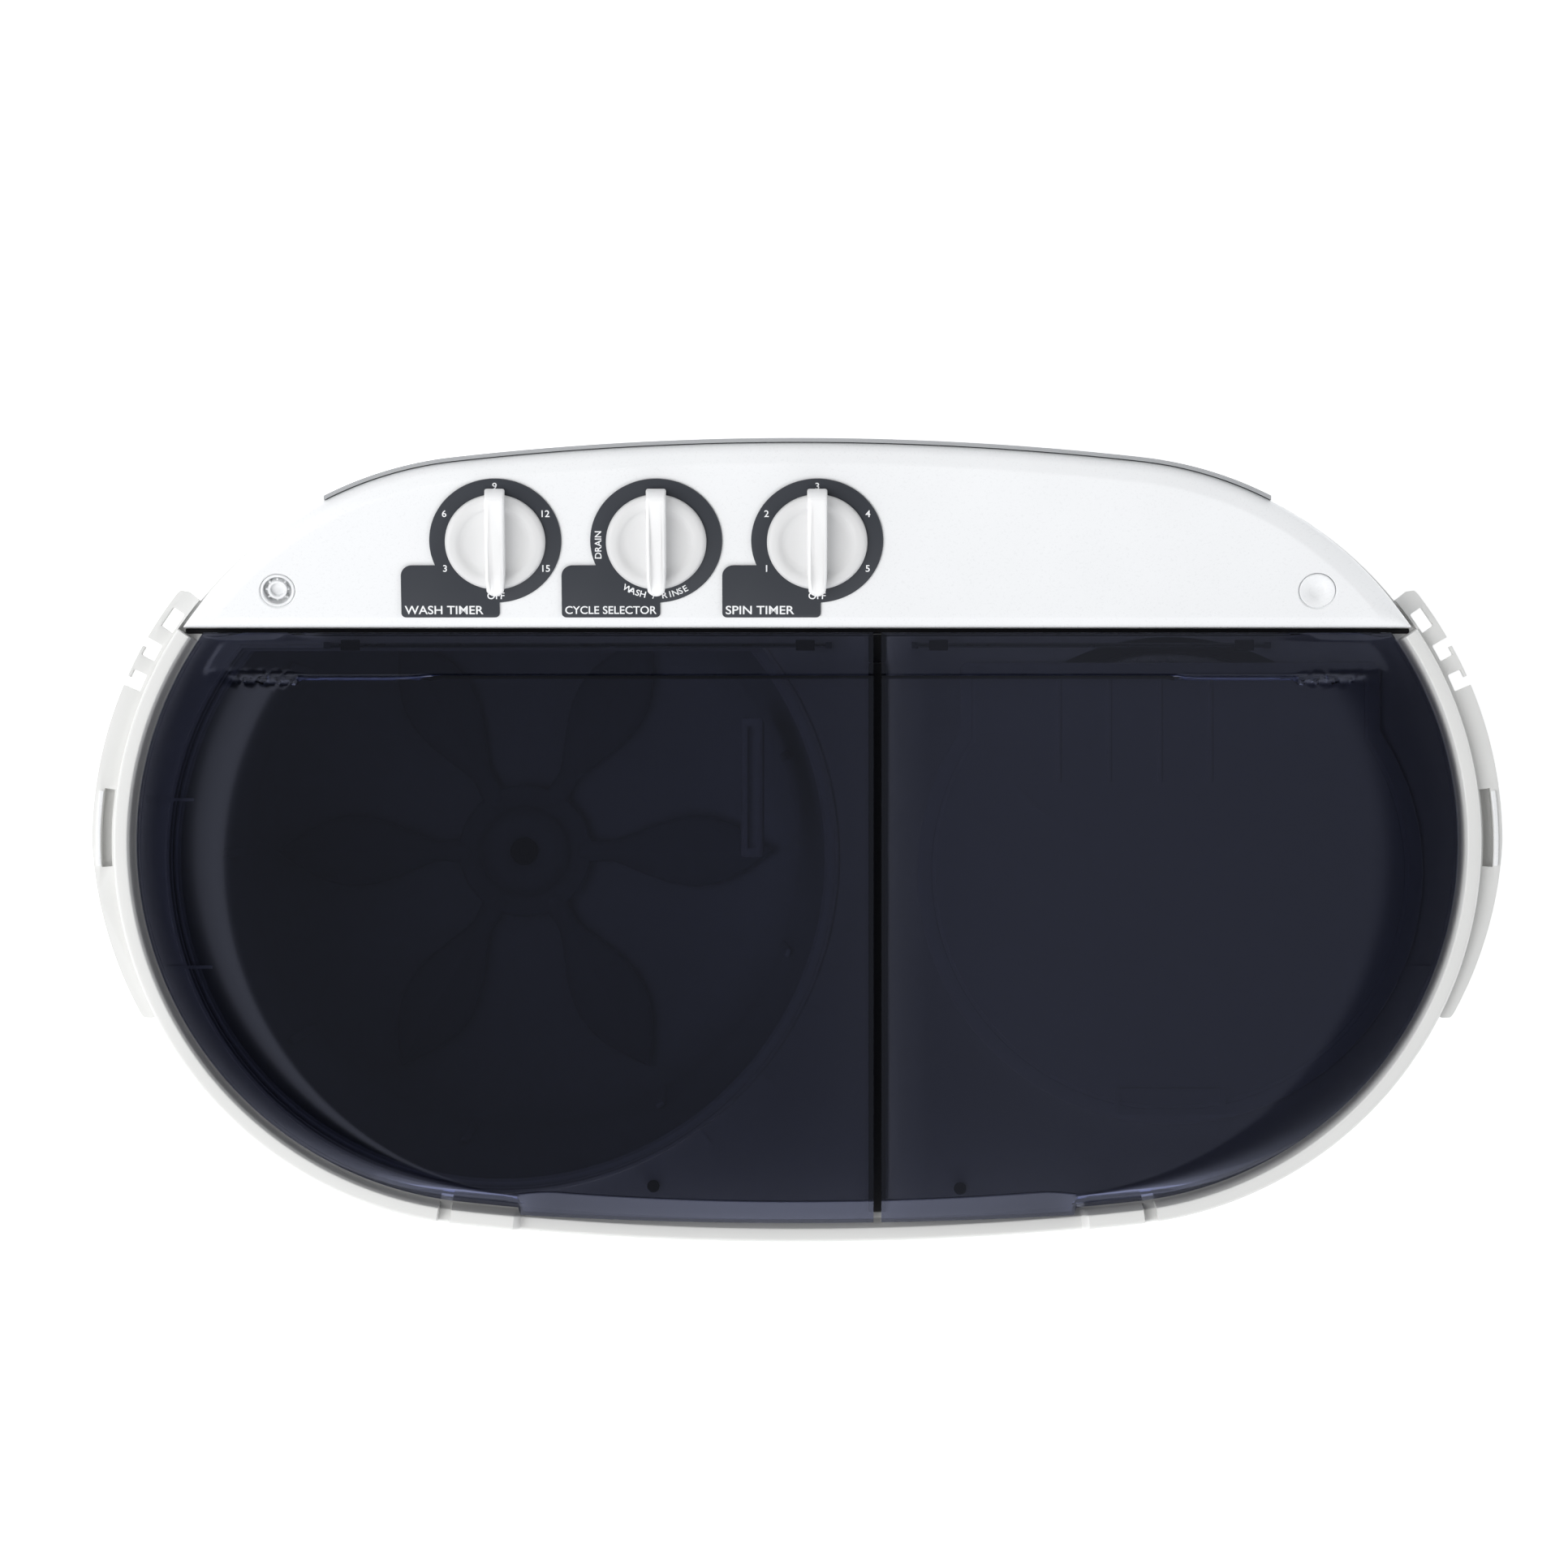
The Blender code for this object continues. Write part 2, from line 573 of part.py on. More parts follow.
def bar_along_x(radius, x0, x1, steps=12):
    """A cylinder along X through the origin."""
    bm = prism(circle(radius, steps), x0, x1)
    bmesh.ops.rotate(bm, verts=bm.verts, cent=(0, 0, 0), matrix=Matrix.Rotation(math.pi / 2, 3, "Y"))
    return bm


def build_lid(name, side, split, knuckles, smoke):
    """A tinted lid: a thin shell with a flat top, a curved side and a lower strip at the rear."""
    hinge = Vector((0, HINGE_Y, HINGE_Z))
    lid = add_part(name, shifted(lid_solid(side, split, 0), -hinge), smoke, hinge)
    strip_top = LID_TOP - LID_STEP_DROP
    main = slice_off(lid_solid(side, split, LID_THICKNESS), (0, LID_STEP - LID_THICKNESS, 0), (0, 1, 0))
    cut(lid, main)
    rear = lid_solid(side, split, LID_THICKNESS)
    cut(lid, slice_off(rear, (0, 0, strip_top - LID_THICKNESS), (0, 0, 1)))
    cut(lid, box(-0.5, 0.5, LID_STEP, LID_REAR + 0.01, strip_top, LID_TOP + 0.01))
    inside_split, past_flat = side * (split - 0.01), side * (LID_FLAT + 0.05)
    cut(lid, box(min(inside_split, past_flat), max(inside_split, past_flat),
                 HINGE_Y + 0.004, LID_REAR + 0.01, LID_EDGE - 0.01, strip_top - LID_THICKNESS))
    for x in knuckles:
        fuse(lid, box(x - KNUCKLE_HALF, x + KNUCKLE_HALF, HINGE_Y - KNUCKLE_DEPTH,
                      HINGE_Y + KNUCKLE_DEPTH, HINGE_Z - KNUCKLE_DEPTH, strip_top - 0.001))
    cut(lid, bar_along_x(ROD_RADIUS + 0.0005, -0.5, 0.5), hinge)


def build_hinge_rod(name, x0, x1, steel):
    """A steel hinge rod on two feet that stand on the deck."""
    hinge = Vector((0, HINGE_Y, HINGE_Z))
    rod_part = add_part(name, bar_along_x(ROD_RADIUS, x0, x1), steel, hinge)
    for x in (x0, x1):
        fuse(rod_part, box(x - 0.002, x + 0.002, HINGE_Y - ROD_FOOT_HALF, HINGE_Y + ROD_FOOT_HALF,
                           DECK_FLOOR + GAP, HINGE_Z + ROD_FOOT_TOP))


def build_inner_lid(white):
    """The safety lid over the spin basket: a disc with a straight hinge side."""
    hinge = Vector((0, INNER_HINGE_Y, INNER_HINGE_Z))
    low, high = INNER_LOW - INNER_HINGE_Z, INNER_TOP - INNER_HINGE_Z
    centre_y = SPIN_CENTRE.y - INNER_HINGE_Y
    turn = math.degrees(math.acos(INNER_HALF / INNER_RADIUS))
    outline = arc(INNER_RADIUS, 180 - turn, 360 + turn, 36, (SPIN_CENTRE.x, centre_y))
    rear = INNER_REAR - INNER_HINGE_Y
    outline += [(SPIN_CENTRE.x + INNER_HALF, rear), (SPIN_CENTRE.x - INNER_HALF, rear)]
    lid = add_part("inner_lid", prism(outline, low, high), white, hinge)
    rib_foot = INNER_TOP - 0.0005
    for i in range(INNER_RIBS):
        x = SPIN_CENTRE.x - 0.071 + INNER_RIB_SPACING * i
        fuse(lid, box(x - 0.0015, x + 0.0015, 0.041, 0.106, rib_foot, INNER_RIB_TOP))
    fuse(lid, box(SPIN_CENTRE.x - 0.0355, SPIN_CENTRE.x + 0.0355, -0.174, -0.157,
                  rib_foot, INNER_RIB_TOP))


def build_wash_side(white, grey, dark, steel, rubber):
    """The wash tub, its pulsator and the drive below it."""
    floor, top = WASH_FLOOR, DECK_FLOOR - FLOOR - GAP
    profile = [(0.0125, floor), (0.176, floor), (0.194, floor + 0.018), (WASH_RADIUS + 0.003, top - WALL),
               (0.219, top - WALL), (0.219, top), (WASH_RADIUS, top), (0.191, floor + 0.020),
               (0.175, floor + WALL), (0.0125, floor + WALL)]
    add_part("wash_tub", turned(profile, 36), white, WASH_CENTRE)
    panel = prism(rounded_rectangle(-0.036, -0.022, -0.010, 0.080, 0.004, 2), 0.560, 0.912)
    add_part("filter_panel", panel, white)

    seat = PULSATOR_BOTTOM
    pulsator = add_part("pulsator", prism(petal_outline(), seat, seat + 0.012), grey, WASH_CENTRE)
    fuse(pulsator, turned([(0, seat), (0.031, seat), (0.031, seat + 0.018), (0.024, seat + 0.030),
                           (0, seat + 0.030)], 24), WASH_CENTRE)
    cap = [(0, seat + 0.0303), (0.0096, seat + 0.0303), (0.0090, seat + 0.0335), (0, seat + 0.035)]
    add_part("pulsator_cap", turned(cap, 16), white, WASH_CENTRE)
    add_part("pulsator_shaft", rod(0.009, floor, seat - GAP), steel, WASH_CENTRE)
    seal = [(0.0096, floor + 0.0034), (0.022, floor + 0.0034), (0.018, floor + 0.009), (0.0096, floor + 0.010)]
    add_part("pulsator_seal", turned(seal, 24), rubber, WASH_CENTRE)

    case = [(0, GEAR_BOTTOM), (0.050, GEAR_BOTTOM), (0.070, GEAR_BOTTOM + 0.016), (0.070, floor - 0.030),
            (0.040, floor - GAP), (0, floor - GAP)]
    add_part("gear_case", turned(case, 32), steel, WASH_CENTRE)
    motor = [(0, GEAR_BOTTOM), (0.055, GEAR_BOTTOM), (0.062, GEAR_BOTTOM + 0.010),
             (0.062, WASH_MOTOR_TOP - 0.013), (0.050, WASH_MOTOR_TOP), (0, WASH_MOTOR_TOP)]
    add_part("wash_motor", turned(motor, 32), dark, MOTOR_CENTRE)
    bracket = add_part("motor_bracket", prism(two_wheel_outline(0.075, 0.070), GEAR_BOTTOM - 0.0043,
                                              GEAR_BOTTOM - GAP), steel, WASH_CENTRE)
    cut(bracket, rod(0.014, 0.3, 0.4), WASH_CENTRE)
    cut(bracket, rod(0.012, 0.3, 0.4), MOTOR_CENTRE)
    build_pulley("drive_pulley", DRIVE_PULLEY_RADIUS, 0.008, WASH_CENTRE, steel)
    build_pulley("motor_pulley", MOTOR_PULLEY_RADIUS, 0.006, MOTOR_CENTRE, steel)
    radii = [radius - GROOVE_DEPTH + BELT_SLACK for radius in (DRIVE_PULLEY_RADIUS, MOTOR_PULLEY_RADIUS)]
    outer = two_wheel_outline(*[radius + BELT_THICKNESS for radius in radii])
    belt = tube_ring(outer, two_wheel_outline(*radii), PULLEY_Z - 0.005, PULLEY_Z + 0.005)
    add_part("drive_belt", belt, rubber, WASH_CENTRE)


def petal_half_width(radius):
    """Half the width of a pulsator petal at a distance from the centre."""
    share = (radius - PETAL_START) / (PULSATOR_RADIUS - PETAL_START)
    return 0.007 * (1 - share) + 0.0215 * math.sin(math.pi * share**1.15)


def petal_outline():
    """Outline of the petalled pulsator."""
    points = []
    radii = [PETAL_START + (PULSATOR_RADIUS - PETAL_START) * i / 8 for i in range(8)]
    root, root_half = PETAL_ROOT
    side = [(radius, petal_half_width(radius)) for radius in radii]
    for k in range(PETALS):
        turn = 2 * math.pi * k / PETALS
        local = [(root, -root_half)] + [(r, -w) for r, w in side] + [(PULSATOR_RADIUS, 0)]
        local += [(r, w) for r, w in reversed(side)] + [(root, root_half)]
        points += [(r * math.cos(turn) - w * math.sin(turn), r * math.sin(turn) + w * math.cos(turn))
                   for r, w in local]
    return points


def two_wheel_outline(radius, other, steps=10):
    """Outline round a wheel at the origin and the motor's wheel beside it, with straight runs."""
    distance = (MOTOR_CENTRE - WASH_CENTRE).length
    lean = math.degrees(math.acos((radius - other) / distance))
    return (arc(other, -lean, lean, steps, (distance, 0)) + arc(radius, lean, 360 - lean, steps + 4))


def build_pulley(name, radius, shaft, centre, steel):
    """A grooved belt pulley with its shaft."""
    groove = radius - GROOVE_DEPTH
    profile = [(0, PULLEY_Z - 0.008), (radius, PULLEY_Z - 0.008), (radius, PULLEY_Z - 0.006),
               (groove, PULLEY_Z - 0.006), (groove, PULLEY_Z + 0.006), (radius, PULLEY_Z + 0.006),
               (radius, PULLEY_Z + 0.008), (shaft, PULLEY_Z + 0.008), (shaft, GEAR_BOTTOM - GAP),
               (0, GEAR_BOTTOM - GAP)]
    add_part(name, turned(profile, 24), steel, centre)


def spring_solid(radius, wire, z0, z1, turns):
    """A coil spring: a round wire along a helix."""
    per_turn, sides = 8, 4
    rings = []
    for i in range(turns * per_turn + 1):
        turn = 2 * math.pi * i / per_turn
        z = z0 + wire + (z1 - z0 - 2 * wire) * i / (turns * per_turn)
        rings.append([((radius + wire * math.cos(a)) * math.cos(turn),
                       (radius + wire * math.cos(a)) * math.sin(turn), z + wire * math.sin(a))
                      for a in [2 * math.pi * k / sides for k in range(sides)]])
    return loft(rings)


def build_spin_side(white, grey, dark, steel, rubber):
    """The spin tub, its basket, the motor on springs and the brake."""
    floor, top = SPIN_FLOOR, DECK_FLOOR - FLOOR - GAP
    profile = [(0.030, floor), (0.155, floor), (0.169, floor + 0.014), (0.169, top - WALL),
               (0.178, top - WALL), (0.178, top), (SPIN_TUB_RADIUS, top), (SPIN_TUB_RADIUS, floor + 0.015),
               (0.154, floor + WALL), (0.030, floor + WALL)]
    add_part("spin_outer_tub", turned(profile, 32), white, SPIN_CENTRE)
    seal = [(0.0095, floor - 0.016), (0.020, floor - 0.016), (0.052, floor - 0.004), (0.052, floor - GAP),
            (0.0095, floor - GAP)]
    add_part("spin_seal", turned(seal, 24), rubber, SPIN_CENTRE)

    low, high = BASKET_BOTTOM, BASKET_TOP
    profile = [(0.0085, low), (0.125, low), (BASKET_RADIUS, low + 0.017), (BASKET_RADIUS, high - 0.003),
               (0.139, high), (0.118, high), (0.118, high - 0.003), (0.1395, high - 0.005),
               (0.1398, low + 0.018), (0.124, low + 0.0025), (0.040, low + 0.0025), (0.026, low + 0.050),
               (0.0085, low + 0.050)]
    add_part("spin_basket", turned(profile, 32), steel, SPIN_CENTRE)
    add_part("spin_shaft", rod(0.008, SPIN_MOTOR_TOP + GAP, low + 0.048), steel, SPIN_CENTRE)
    drum = [(0.0085, DRUM_BOTTOM), (DRUM_RADIUS, DRUM_BOTTOM), (DRUM_RADIUS, DRUM_TOP), (0.0085, DRUM_TOP)]
    add_part("brake_drum", turned(drum, 32), steel, SPIN_CENTRE)

    plate = SPIN_MOTOR_TOP + GAP
    bracket = add_part("brake_bracket", prism(circle(0.092, 28), plate, plate + WALL), steel, SPIN_CENTRE)
    cut(bracket, rod(0.012, 0.2, 0.3), SPIN_CENTRE)
    arm = (DRUM_BOTTOM + 0.003, DRUM_TOP - 0.003)
    lever = add_part("brake_lever", rod(0.006, plate + WALL + GAP, DRUM_TOP - 0.001), steel, LEVER_PIVOT)
    fuse(lever, box(-0.003, 0.003, -0.004, 0.080, *arm), LEVER_PIVOT)
    fuse(lever, box(-0.010, -0.002, 0.046, 0.066, *arm), LEVER_PIVOT)

    motor = [(0, SPIN_MOTOR_BOTTOM), (0.055, SPIN_MOTOR_BOTTOM), (0.062, SPIN_MOTOR_BOTTOM + 0.012),
             (0.062, SPIN_MOTOR_TOP - 0.012), (0.055, SPIN_MOTOR_TOP), (0, SPIN_MOTOR_TOP)]
    add_part("spin_motor", turned(motor, 32), dark, SPIN_CENTRE)
    add_part("spin_motor_plate", prism(circle(0.085, 28), SPIN_MOTOR_BOTTOM - MOTOR_PLATE,
                                       SPIN_MOTOR_BOTTOM - GAP), steel, SPIN_CENTRE)
    for i in range(3):
        turn = math.radians(90 + 120 * i)
        spot = SPIN_CENTRE + Vector((0.065 * math.cos(turn), 0.065 * math.sin(turn), 0))
        spring = spring_solid(0.012, 0.002, FOOT_TOP + FLOOR + GAP, SPIN_MOTOR_BOTTOM - MOTOR_PLATE - GAP, 5)
        add_part(f"spring_{i + 1}", spring, steel, spot)


def build_drain(white, grey, dark, rubber):
    """The drain valve between the tubs, its outlet at the back and the overflow pipe."""
    body = [(0.009, 0.150), (0.012, 0.150), (0.012, 0.340), (0.026, 0.340), (0.026, 0.400),
            (0.023, 0.400), (0.023, 0.343), (0.009, 0.343)]
    add_part("drain_valve_body", turned(body, 16), grey, DRAIN_CENTRE)
    plug = [(0, 0.3436), (0.015, 0.3436), (0.012, 0.352), (0.0015, 0.354), (0.0015, 0.880), (0, 0.880)]
    add_part("drain_valve_plug", turned(plug, 16), rubber, DRAIN_CENTRE)
    outlet = [(0.0125, -0.016), (0.0125, 0.030), (0.0160, 0.030), (0.0160, -0.016)]
    add_part("drain_outlet", turned(outlet, 20), dark,
             (OUTLET_X, side_back(OUTLET_X, BASE_INSET), OUTLET_Z), math.pi / 2)
    pipe = [(0.009, 0.130), (0.009, 0.800), (0.012, 0.800), (0.012, 0.130)]
    add_part("overflow_pipe", turned(pipe, 16), grey, OVERFLOW_CENTRE)


def main():
    """Builds the whole machine."""
    clear_scene()
    white = make_material("white_plastic", "EEEEEC", 0.35)
    grey = make_material("grey_plastic", "B4B6B8", 0.45)
    dark = make_material("dark_plastic", "36393F", 0.5)
    black = make_material("black_rubber", "18181A", 0.7)
    smoke = make_material("smoked_plastic", "1E2029", 0.15)
    steel = make_material("steel", "A9ABAD", 0.35, 1.0)

    build_base(dark, black)
    build_cabinet(white, grey, dark)
    build_deck(white, black)
    build_grips(white)
    build_panel(white, grey)
    build_inlets(white, grey)
    for plate, knob, x in zip(("wash_dial", "selector_dial", "spin_dial"),
                              ("wash_knob", "selector_knob", "spin_knob"), DIAL_X):
        build_dial(plate, x, dark)
        build_knob(knob, x, white)
    build_switches(dark)
    build_lid("wash_lid", -1, -(LID_SPLIT - LID_SPLIT_GAP), WASH_KNUCKLES, smoke)
    build_lid("spin_lid", 1, LID_SPLIT + LID_SPLIT_GAP, SPIN_KNUCKLES, smoke)
    build_hinge_rod("wash_hinge_rod", *WASH_ROD, steel)
    build_hinge_rod("spin_hinge_rod", *SPIN_ROD, steel)
    build_inner_lid(white)
    build_wash_side(white, grey, dark, steel, black)
    build_spin_side(white, grey, dark, steel, black)
    build_drain(white, grey, dark, black)


main()
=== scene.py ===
"""Twin tub washing machine: the surfaces and finishes of every piece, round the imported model."""
import json
import math

import bmesh
import bpy
from bpy.props import FloatProperty, PointerProperty
from mathutils import Matrix, Vector

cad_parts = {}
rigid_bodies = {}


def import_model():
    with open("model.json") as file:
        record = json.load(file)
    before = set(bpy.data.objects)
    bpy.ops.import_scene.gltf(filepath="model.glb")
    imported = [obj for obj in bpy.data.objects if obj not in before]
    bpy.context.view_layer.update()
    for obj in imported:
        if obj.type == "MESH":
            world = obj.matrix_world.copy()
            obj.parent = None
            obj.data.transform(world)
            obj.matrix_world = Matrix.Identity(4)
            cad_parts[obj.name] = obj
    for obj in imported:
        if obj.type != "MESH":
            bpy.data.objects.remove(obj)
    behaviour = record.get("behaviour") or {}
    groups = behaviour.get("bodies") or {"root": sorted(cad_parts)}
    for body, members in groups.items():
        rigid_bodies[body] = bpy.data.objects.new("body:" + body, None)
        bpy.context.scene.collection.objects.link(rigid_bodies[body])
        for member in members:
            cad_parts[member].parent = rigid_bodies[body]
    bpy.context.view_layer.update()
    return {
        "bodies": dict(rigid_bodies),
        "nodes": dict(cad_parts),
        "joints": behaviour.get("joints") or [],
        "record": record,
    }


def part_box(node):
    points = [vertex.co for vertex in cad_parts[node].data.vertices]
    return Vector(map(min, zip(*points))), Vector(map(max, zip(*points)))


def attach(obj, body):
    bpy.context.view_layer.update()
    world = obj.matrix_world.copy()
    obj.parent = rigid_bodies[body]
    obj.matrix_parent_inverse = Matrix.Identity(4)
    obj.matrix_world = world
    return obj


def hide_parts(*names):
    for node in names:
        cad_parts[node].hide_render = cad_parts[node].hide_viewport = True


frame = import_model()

bl_info = {
    "name": "Twin Tub Washer",
    "version": (1, 0, 0),
    "blender": (4, 5, 0),
    "location": "View3D > Sidebar > Washer",
    "description": "Builds the finished surfaces of a twin tub washing machine",
    "category": "Add Mesh",
}

MM = 0.001


def corners(node):
    """The low and the high corner of a node's box."""
    return [Vector(corner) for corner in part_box(node)]


def in_mm(pairs, base=0.0):
    """A (radius, height) profile in millimetres, turned into metres above a base height."""
    return [(radius * MM, base + height * MM) for radius, height in pairs]


# Main sizes, read from the frame's own nodes.
DECK_LOW, DECK_HIGH = corners("top_deck")
SHELL_LOW, SHELL_HIGH = corners("cabinet_shell")
BASE_LOW, BASE_HIGH = corners("base_stand")
PANEL_LOW, PANEL_HIGH = corners("control_panel")
GRIP_LOW, GRIP_HIGH = corners("side_grip_right")
INNER_LOW, INNER_HIGH = corners("inner_lid")
LID_HIGH = corners("wash_lid")[1]
TUB_LOW, TUB_HIGH = corners("wash_tub")
SPIN_TUB_LOW, SPIN_TUB_HIGH = corners("spin_outer_tub")
BASKET_LOW, BASKET_HIGH = corners("spin_basket")
PULSATOR_LOW = corners("pulsator")[0]

# Outline of the machine seen from above: an oval of four tangent arcs.
HALF_DEPTH = DECK_HIGH.y
END_RADIUS = 245 * MM
END_CENTRE = DECK_HIGH.x - END_RADIUS
SIDE_RADIUS = (END_CENTRE**2 + HALF_DEPTH**2 - END_RADIUS**2) / (2 * (HALF_DEPTH - END_RADIUS))
SIDE_CENTRE = SIDE_RADIUS - HALF_DEPTH
SIDE_SWEEP = math.atan2(END_CENTRE, SIDE_CENTRE)
END_SWEEP = math.pi / 2 - SIDE_SWEEP

RIM_TOP = DECK_HIGH.z
DECK_FLOOR = RIM_TOP - 20 * MM
LEDGE_TOP = RIM_TOP - 12 * MM
LEDGE_LEFT, LEDGE_RIGHT = -177 * MM, 182 * MM
NOTCH_X, NOTCH_WIDTH = 226 * MM, 8 * MM
RIM_FOOT = 13.5 * MM
WASH_CHORD = 122 * MM  # the wash opening is a circle cut straight at this depth
SPIN_OPENING = 150  # radius in millimetres

PANEL_FRONT = PANEL_LOW.y
PANEL_FRONT_TOP = 962 * MM
PANEL_TILT = math.radians(22)
PANEL_NORMAL = Vector((0, -math.sin(PANEL_TILT), math.cos(PANEL_TILT)))
JOINTS = {joint["name"]: joint for joint in frame["record"]["behaviour"]["joints"]}
DIALS = {name: Vector(JOINTS[f"{name}_knob_turn"]["pos_m"]) for name in ("wash", "selector", "spin")}
WASH_CENTRE = Vector((*JOINTS["pulsator_spin"]["pos_m"][:2], 0))
SPIN_CENTRE = Vector((*JOINTS["basket_spin"]["pos_m"][:2], 0))
LID_HINGE = Vector(JOINTS["wash_lid_hinge"]["pos_m"])
LID_REAR = LID_HIGH.y
LID_INSET = 14.5 * MM
LID_STEP = 106 * MM
LID_THICKNESS = 2.5 * MM
CREASE_CENTRE = Vector((150 * MM, -18 * MM))
CREASE_RADIUS = 208 * MM
LIP_END = 178 * MM
LIP_WIDTH = 12 * MM


# ---------------------------------------------------------------- materials

def linear(hex_code):
    """Linear colour of an sRGB hex code such as F2F2EE."""
    channels = [int(hex_code.lstrip("#")[i:i + 2], 16) / 255 for i in (0, 2, 4)]
    return tuple(c / 12.92 if c <= 0.04045 else ((c + 0.055) / 1.055) ** 2.4 for c in channels)


def add_node(tree, kind, values=None, links=None, **settings):
    """Adds a node with its settings, its socket values and its links from other nodes' outputs."""
    node = tree.nodes.new(kind)
    for key, value in settings.items():
        setattr(node, key, value)
    for key, value in (values or {}).items():
        node.inputs[key].default_value = value
    for key, output in (links or {}).items():
        tree.links.new(output, node.inputs[key])
    return node


def blank_material(name):
    """An empty node material with its output, and its object coordinates."""
    material = bpy.data.materials.new(name)
    material.use_nodes = True
    tree = material.node_tree
    tree.nodes.clear()
    output = add_node(tree, "ShaderNodeOutputMaterial")
    place = add_node(tree, "ShaderNodeTexCoord").outputs["Object"]
    return material, tree, output, place


def noise(tree, place, period, detail=2.0, roughness=0.5):
    """Noise whose lumps are about one period, in metres, across."""
    return add_node(tree, "ShaderNodeTexNoise", links={"Vector": place},
                    values={"Scale": 1 / period, "Detail": detail, "Roughness": roughness})


def spread(tree, value, low, high):
    """Maps a 0 to 1 value onto a range."""
    return add_node(tree, "ShaderNodeMapRange", links={"Value": value},
                    values={"From Min": 0.3, "From Max": 0.7, "To Min": low, "To Max": high})


def mottled(tree, clouds, base, shade):
    """A colour that drifts between itself and a darker shade of it with the clouds."""
    blend = spread(tree, clouds.outputs["Fac"], 0.0, 1.0)
    colour = add_node(tree, "ShaderNodeMix", data_type="RGBA", links={"Factor": blend.outputs["Result"]})
    colour.inputs[6].default_value = (*[c * shade for c in base], 1.0)
    colour.inputs[7].default_value = (*base, 1.0)
    return colour


def moulded_plastic(name, hex_code, roughness, grain, depth, mottle=0.03, ior=1.49):
    """Injection-moulded plastic: a fine spark-eroded grain, faint flow mottling and uneven gloss."""
    material, tree, output, place = blank_material(name)
    clouds = noise(tree, place, 90 * MM, 3.0)
    fine = noise(tree, place, grain * MM, 2.0, 0.6)
    base = linear(hex_code)
    colour = mottled(tree, clouds, base, 1 - mottle)
    shine = spread(tree, fine.outputs["Fac"], roughness - 0.05, roughness + 0.06)
    bump = add_node(tree, "ShaderNodeBump", links={"Height": fine.outputs["Fac"]},
                    values={"Strength": 0.35, "Distance": depth * MM})
    shader = add_node(tree, "ShaderNodeBsdfPrincipled", values={"IOR": ior},
                      links={"Base Color": colour.outputs[2], "Roughness": shine.outputs["Result"],
                             "Normal": bump.outputs["Normal"]})
    tree.links.new(shader.outputs[0], output.inputs["Surface"])
    return material


def worked_metal(name, hex_code, roughness, stretch, period, depth):
    """Metal whose tool marks or zinc spangle run along stretched noise; it keeps the default IOR."""
    material, tree, output, place = blank_material(name)
    mapped = add_node(tree, "ShaderNodeMapping", values={"Scale": stretch}, links={"Vector": place})
    marks = noise(tree, mapped.outputs["Vector"], period * MM, 4.0, 0.6)
    clouds = noise(tree, place, 60 * MM, 2.0)
    base = linear(hex_code)
    colour = mottled(tree, clouds, base, 0.86)
    shine = spread(tree, marks.outputs["Fac"], roughness - 0.08, roughness + 0.10)
    bump = add_node(tree, "ShaderNodeBump", links={"Height": marks.outputs["Fac"]},
                    values={"Strength": 0.4, "Distance": depth * MM})
    shader = add_node(tree, "ShaderNodeBsdfPrincipled", values={"Metallic": 1.0},
                      links={"Base Color": colour.outputs[2], "Roughness": shine.outputs["Result"],
                             "Normal": bump.outputs["Normal"]})
    tree.links.new(shader.outputs[0], output.inputs["Surface"])
    return material


def smoked_styrene(name, hex_code, roughness):
    """Smoked styrene sheet: it darkens what is under it and mirrors like a gloss lacquer.

    Light crosses two faces each way, so each face takes its share of the tint.
    """
    material, tree, output, place = blank_material(name)
    ripple = noise(tree, place, 160 * MM, 1.0)
    bump = add_node(tree, "ShaderNodeBump", links={"Height": ripple.outputs["Fac"]},
                    values={"Strength": 0.2, "Distance": 0.05 * MM})
    clear = add_node(tree, "ShaderNodeBsdfTransparent", values={"Color": (*linear(hex_code), 1.0)})
    gloss = add_node(tree, "ShaderNodeBsdfGlossy",
                     values={"Roughness": roughness, "Color": (0.78, 0.82, 1.0, 1.0)},
                     links={"Normal": bump.outputs["Normal"]})
    edge = add_node(tree, "ShaderNodeFresnel", values={"IOR": 1.5},
                    links={"Normal": bump.outputs["Normal"]})
    mixed = add_node(tree, "ShaderNodeMixShader",
                     links={0: edge.outputs[0], 1: clear.outputs[0], 2: gloss.outputs[0]})
    tree.links.new(mixed.outputs[0], output.inputs["Surface"])
    return material


